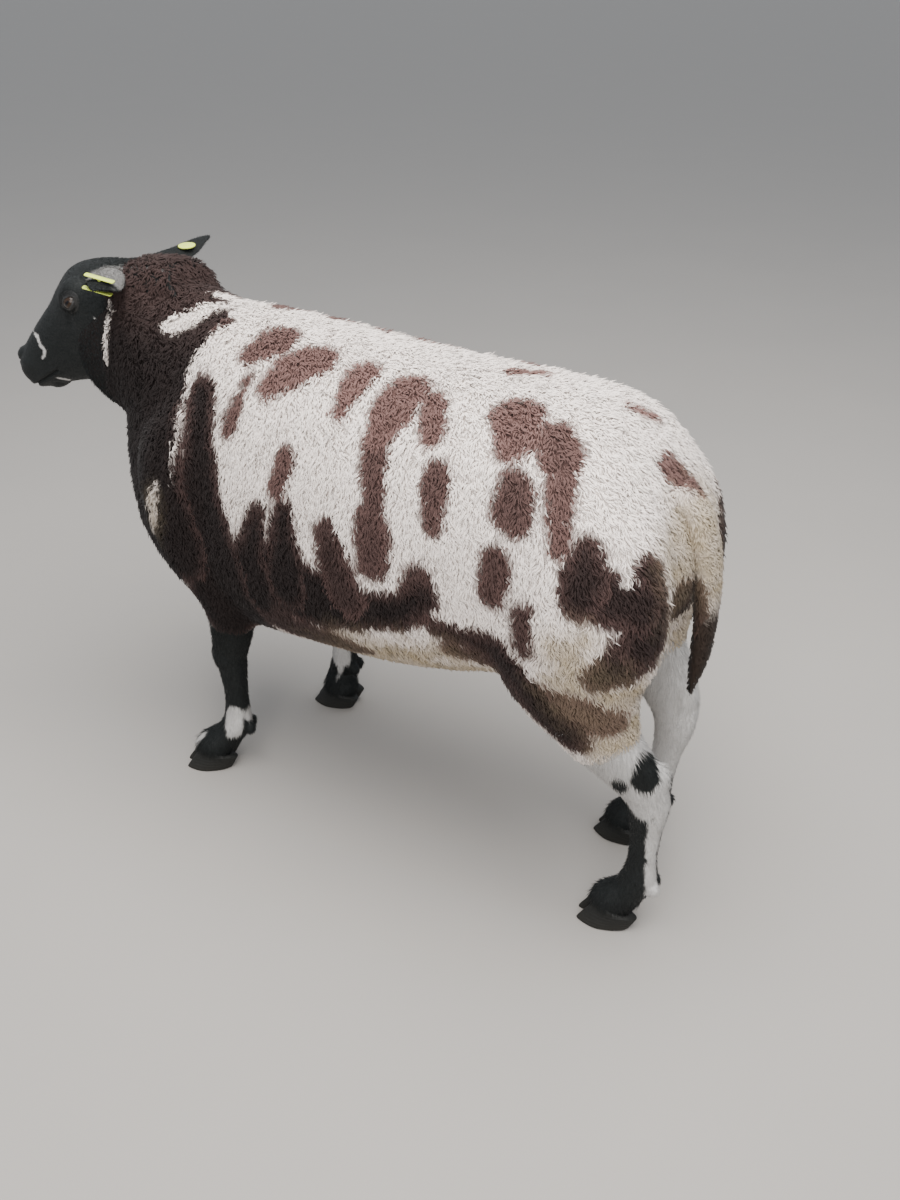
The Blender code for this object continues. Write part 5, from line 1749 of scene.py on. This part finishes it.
def make_hooves():
    for key in FEET:
        form = bmesh.new()
        for sign in (1, -1):
            take_in(form, loft("claw", claw(sign)))
        for sign in (1, -1):
            take_in(form, egg("bulb", (sign * HEEL_BULB[0], *HEEL_BULB[1:3]), HEEL_BULB[3:]))
        point, axis = coronet(key)
        bmesh.ops.transform(form, matrix=hoof_frame(key), verts=form.verts)
        cut = bmesh.ops.bisect_plane(form, geom=form.verts[:] + form.edges[:] + form.faces[:], plane_co=point,
                                     plane_no=axis, clear_outer=True)
        edges = [item for item in cut["geom_cut"] if isinstance(item, bmesh.types.BMEdge)]
        bmesh.ops.holes_fill(form, edges=edges, sides=0)
        mesh = mesh_from(form, "hoof")
        heights = np.array([v.co.z for v in mesh.vertices]) / HOOF_TOE_HEIGHT
        set_attribute(mesh, "rise", "FLOAT", heights)
        mesh.shade_smooth()
        mesh.transform(Matrix.Translation(SHIFT))
        add_piece("hoof_horn_" + key, mesh, horn_material(), "horn", "hoof_" + key)


def horn_material():
    """Dark horn with rings of growth round it, scuffed and dusty low down."""
    name = "hoof horn"
    if name in bpy.data.materials:
        return bpy.data.materials[name]
    made, tree, shader = new_material(name)
    rise = put(tree, "ShaderNodeAttribute", attribute_name="rise")
    wander = noise_node(tree, 60.0, 2.0)
    rings = maths(tree, "SINE", maths(tree, "MULTIPLY_ADD", rise.outputs["Fac"], 52.0,
                                      maths(tree, "MULTIPLY", wander, 5.0)))
    scuff = noise_node(tree, 320.0, 4.0)
    horn = bpy.context.scene.ram_trim.horn
    colour = mix_colour(tree, scuff, tuple(horn), (horn[0] * 2.2, horn[1] * 2.1, horn[2] * 2.0, 1.0))
    dust = maths(tree, "MULTIPLY", maths(tree, "SUBTRACT", 0.45, rise.outputs["Fac"]), 1.6, clamp=True)
    dust = maths(tree, "MULTIPLY", dust, maths(tree, "MULTIPLY", scuff, 0.4))
    colour = mix_colour(tree, dust, colour, (0.06, 0.052, 0.042, 1.0))
    tree.links.new(colour, shader.inputs["Base Color"])
    tree.links.new(maths(tree, "MULTIPLY_ADD", scuff, 0.35, 0.38), shader.inputs["Roughness"])
    shader.inputs["Specular IOR Level"].default_value = 0.20
    bump = put(tree, "ShaderNodeBump")
    bump.inputs["Strength"].default_value = 0.5
    bump.inputs["Distance"].default_value = 0.00025
    height = maths(tree, "ADD", rings, maths(tree, "MULTIPLY", scuff, 2.4))
    tree.links.new(height, bump.inputs["Height"])
    tree.links.new(bump.outputs["Normal"], shader.inputs["Normal"])
    return made


def plate_rings(outline, low, high, bevel):
    """Rings of a flat plate with eased edges; the outline is given at full size and the normal is Y."""
    rings = []
    for y, shrink in ((low, bevel), (low + bevel * 0.4, 0.0), (high - bevel * 0.4, 0.0), (high, bevel)):
        points = []
        for x, z in outline:
            far = math.hypot(x, z)
            scale = (far - shrink) / far
            points.append(Vector((x * scale, y, z * scale)))
        rings.append(points)
    return rings


def round_outline(radius, sides):
    return [(radius * math.cos(2 * math.pi * i / sides), radius * math.sin(2 * math.pi * i / sides))
            for i in range(sides)]


def flap_outline():
    """A long flap with rounded corners."""
    half_wide, half_long, corner = FLAP_LENGTH / 2, FLAP_WIDTH / 2, 0.0030
    points = []
    for cx, cz, start in ((half_wide - corner, half_long - corner, 0),
                          (-half_wide + corner, half_long - corner, 90),
                          (-half_wide + corner, -half_long + corner, 180),
                          (half_wide - corner, -half_long + corner, 270)):
        for k in range(6):
            turn = math.radians(start + 18 * k)
            points.append((cx + corner * math.cos(turn), cz + corner * math.sin(turn)))
    return points


def add_rings(form, rings):
    take_in(form, loft("plate", rings))


def add_tag_plate(form, side, y, in_front):
    """One plate of a tag, with the low knob on its outer face."""
    if side == "right":
        radius = BACK_RADIUS if in_front else BUTTON_RADIUS
        outline, knob, rise, sunk, bevel = round_outline(radius, 48), radius * 0.36, 0.0009, 0.0007, 0.0004
    else:
        outline, knob, rise, sunk, bevel = flap_outline(), 0.0048, 0.0008, 0.0006, 0.0003
    add_rings(form, plate_rings(outline, y, y + TAG_THICK, 0.0005))
    outer = y + TAG_THICK - 0.0002 if in_front else y - sunk
    add_rings(form, plate_rings(round_outline(knob, 32), outer, outer + rise, bevel))


def make_tags():
    for side in ("left", "right"):
        across, along = TAG_AT[side]
        wide, thick, cup = ear_section(along / EAR_LENGTH)
        bend = cup * (across / wide) ** 2
        back = bend - thick - TAG_STAND
        front = bend + thick + CUP_STAND[side]
        form = bmesh.new()
        add_rings(form, plate_rings(round_outline(STUD_RADIUS, 20), back - TAG_THICK, front + TAG_THICK,
                                    0.0004))
        add_tag_plate(form, side, back - TAG_THICK, False)
        add_tag_plate(form, side, front, True)
        mesh = mesh_from(form, "tag")
        mesh.transform(ear_frame(side) @ Matrix.Translation((across, 0, along)))
        mesh.transform(Matrix.Translation(SHIFT))
        mesh.shade_smooth()
        mesh.set_sharp_from_angle(angle=math.radians(40))
        add_piece("tag_plate_" + side, mesh, tag_material(), "tag_yellow", "tag_" + side)


def tag_material():
    name = "tag plastic"
    if name in bpy.data.materials:
        return bpy.data.materials[name]
    made, tree, shader = new_material(name)
    tag = bpy.context.scene.ram_trim.tag
    grime = noise_node(tree, 260.0, 4.0)
    faded = (min(1.0, tag[0] * 1.15), min(1.0, tag[1] * 1.08), tag[2] * 2.4, 1.0)
    colour = mix_colour(tree, grime, tuple(tag), faded)
    tree.links.new(colour, shader.inputs["Base Color"])
    tree.links.new(maths(tree, "MULTIPLY_ADD", grime, 0.25, 0.30), shader.inputs["Roughness"])
    add_relief(tree, shader, 400.0, 1400.0, 0.5, 0.0002)
    return made


def stage_material():
    made, tree, shader = new_material("pale floor")
    tone = bpy.context.scene.ram_stage.floor
    cloud = noise_node(tree, 3.0, 5.0)
    colour = mix_colour(tree, cloud, tuple(c * 0.93 for c in tone[:3]) + (1.0,), tuple(tone))
    tree.links.new(colour, shader.inputs["Base Color"])
    tree.links.new(maths(tree, "MULTIPLY_ADD", cloud, 0.15, 0.75), shader.inputs["Roughness"])
    return made


def make_stage():
    """Pale floor, large soft lights and the camera."""
    stage = bpy.context.scene.ram_stage
    form = bmesh.new()
    bmesh.ops.create_grid(form, x_segments=2, y_segments=2, size=FLOOR_SIZE)
    floor = linked("floor", mesh_from(form, "floor"))
    floor.location.z = -FLOOR_DROP
    floor.data.materials.append(stage_material())
    world = bpy.data.worlds.new("sky")
    world.use_nodes = True
    back = world.node_tree.nodes["Background"]
    back.inputs["Color"].default_value = (0.86, 0.92, 1.0, 1.0)
    back.inputs["Strength"].default_value = stage.sky
    bpy.context.scene.world = world
    for name, place, aim, size, power in (("overhead", (0.3, 0.5, 2.8), (0, 0, 0.4), 2.6, stage.key),
                                          ("side", (2.4, 1.6, 1.7), (0, 0, 0.4), 2.0, stage.key * 0.35)):
        lamp = bpy.data.lights.new(name, "AREA")
        lamp.shape = "SQUARE"
        lamp.size = size
        lamp.energy = power
        lamp.color = (1.0, 0.985, 0.96)
        thing = linked(name, lamp)
        thing.location = place
        thing.rotation_euler = (Vector(aim) - Vector(place)).to_track_quat("-Z", "Y").to_euler()
    make_camera()


def make_camera():
    data = bpy.data.cameras.new("camera")
    data.sensor_fit = "VERTICAL"
    data.sensor_height = 36.0
    data.lens = CAMERA_LENS
    camera = linked("camera", data)
    heading = Vector((*CAMERA_HEADING, 0)).normalized()
    aim = heading * math.cos(CAMERA_TILT) - Vector((0, 0, math.sin(CAMERA_TILT)))
    camera.location = Vector(CAMERA_AT) + SHIFT
    camera.rotation_euler = aim.to_track_quat("-Z", "Y").to_euler()
    bpy.context.scene.camera = camera


class RAM_OT_fleece(bpy.types.Operator):
    """Skin and wool of trunk, neck and tail"""
    bl_idname = "ram.fleece"
    bl_label = "Fleece"

    def execute(self, context):
        make_fleece()
        return {"FINISHED"}


class RAM_OT_legs(bpy.types.Operator):
    """Skin and short hair of the legs"""
    bl_idname = "ram.legs"
    bl_label = "Legs"

    def execute(self, context):
        make_legs()
        return {"FINISHED"}


class RAM_OT_head(bpy.types.Operator):
    """Skin, lids and short hair of the head"""
    bl_idname = "ram.head"
    bl_label = "Head"

    def execute(self, context):
        make_head()
        return {"FINISHED"}


class RAM_OT_ears(bpy.types.Operator):
    """Skin and hair of the ears"""
    bl_idname = "ram.ears"
    bl_label = "Ears"

    def execute(self, context):
        make_ears()
        return {"FINISHED"}


class RAM_OT_scrotum(bpy.types.Operator):
    """Skin and hair of the scrotum"""
    bl_idname = "ram.scrotum"
    bl_label = "Scrotum"

    def execute(self, context):
        make_scrotum()
        return {"FINISHED"}


class RAM_OT_eyes(bpy.types.Operator):
    """Eyeballs with their slot pupils"""
    bl_idname = "ram.eyes"
    bl_label = "Eyes"

    def execute(self, context):
        make_eyes()
        return {"FINISHED"}


class RAM_OT_hooves(bpy.types.Operator):
    """Cloven hooves"""
    bl_idname = "ram.hooves"
    bl_label = "Hooves"

    def execute(self, context):
        make_hooves()
        return {"FINISHED"}


class RAM_OT_tags(bpy.types.Operator):
    """Blank plastic tags in both ears"""
    bl_idname = "ram.tags"
    bl_label = "Ear tags"

    def execute(self, context):
        make_tags()
        return {"FINISHED"}


class RAM_OT_stage(bpy.types.Operator):
    """Floor, lights and camera"""
    bl_idname = "ram.stage"
    bl_label = "Stage"

    def execute(self, context):
        make_stage()
        return {"FINISHED"}


OPERATORS = (RAM_OT_fleece, RAM_OT_legs, RAM_OT_head, RAM_OT_ears, RAM_OT_scrotum, RAM_OT_eyes, RAM_OT_hooves,
             RAM_OT_tags, RAM_OT_stage)
SETTINGS = (("ram_fleece", FleeceSettings), ("ram_hair", HairSettings), ("ram_trim", TrimSettings),
            ("ram_stage", StageSettings))


class RAM_PT_panel(bpy.types.Panel):
    """Everything that dresses the ram"""
    bl_label = "Dutch spotted ram"
    bl_idname = "RAM_PT_panel"
    bl_space_type = "VIEW_3D"
    bl_region_type = "UI"
    bl_category = "Ram"

    def draw(self, context):
        for name, kind in SETTINGS:
            box = self.layout.box()
            group = getattr(context.scene, name)
            for key in kind.__annotations__:
                box.prop(group, key)
        for operator in OPERATORS:
            self.layout.operator(operator.bl_idname)


def register():
    for name, kind in SETTINGS:
        bpy.utils.register_class(kind)
        setattr(bpy.types.Scene, name, PointerProperty(type=kind))
    for kind in OPERATORS + (RAM_PT_panel,):
        bpy.utils.register_class(kind)


def unregister():
    for kind in reversed(OPERATORS + (RAM_PT_panel,)):
        bpy.utils.unregister_class(kind)
    for name, kind in reversed(SETTINGS):
        delattr(bpy.types.Scene, name)
        bpy.utils.unregister_class(kind)


def main():
    register()
    for operator in OPERATORS:
        group, name = operator.bl_idname.split(".")
        getattr(getattr(bpy.ops, group), name)()


if __name__ == "__main__":
    main()
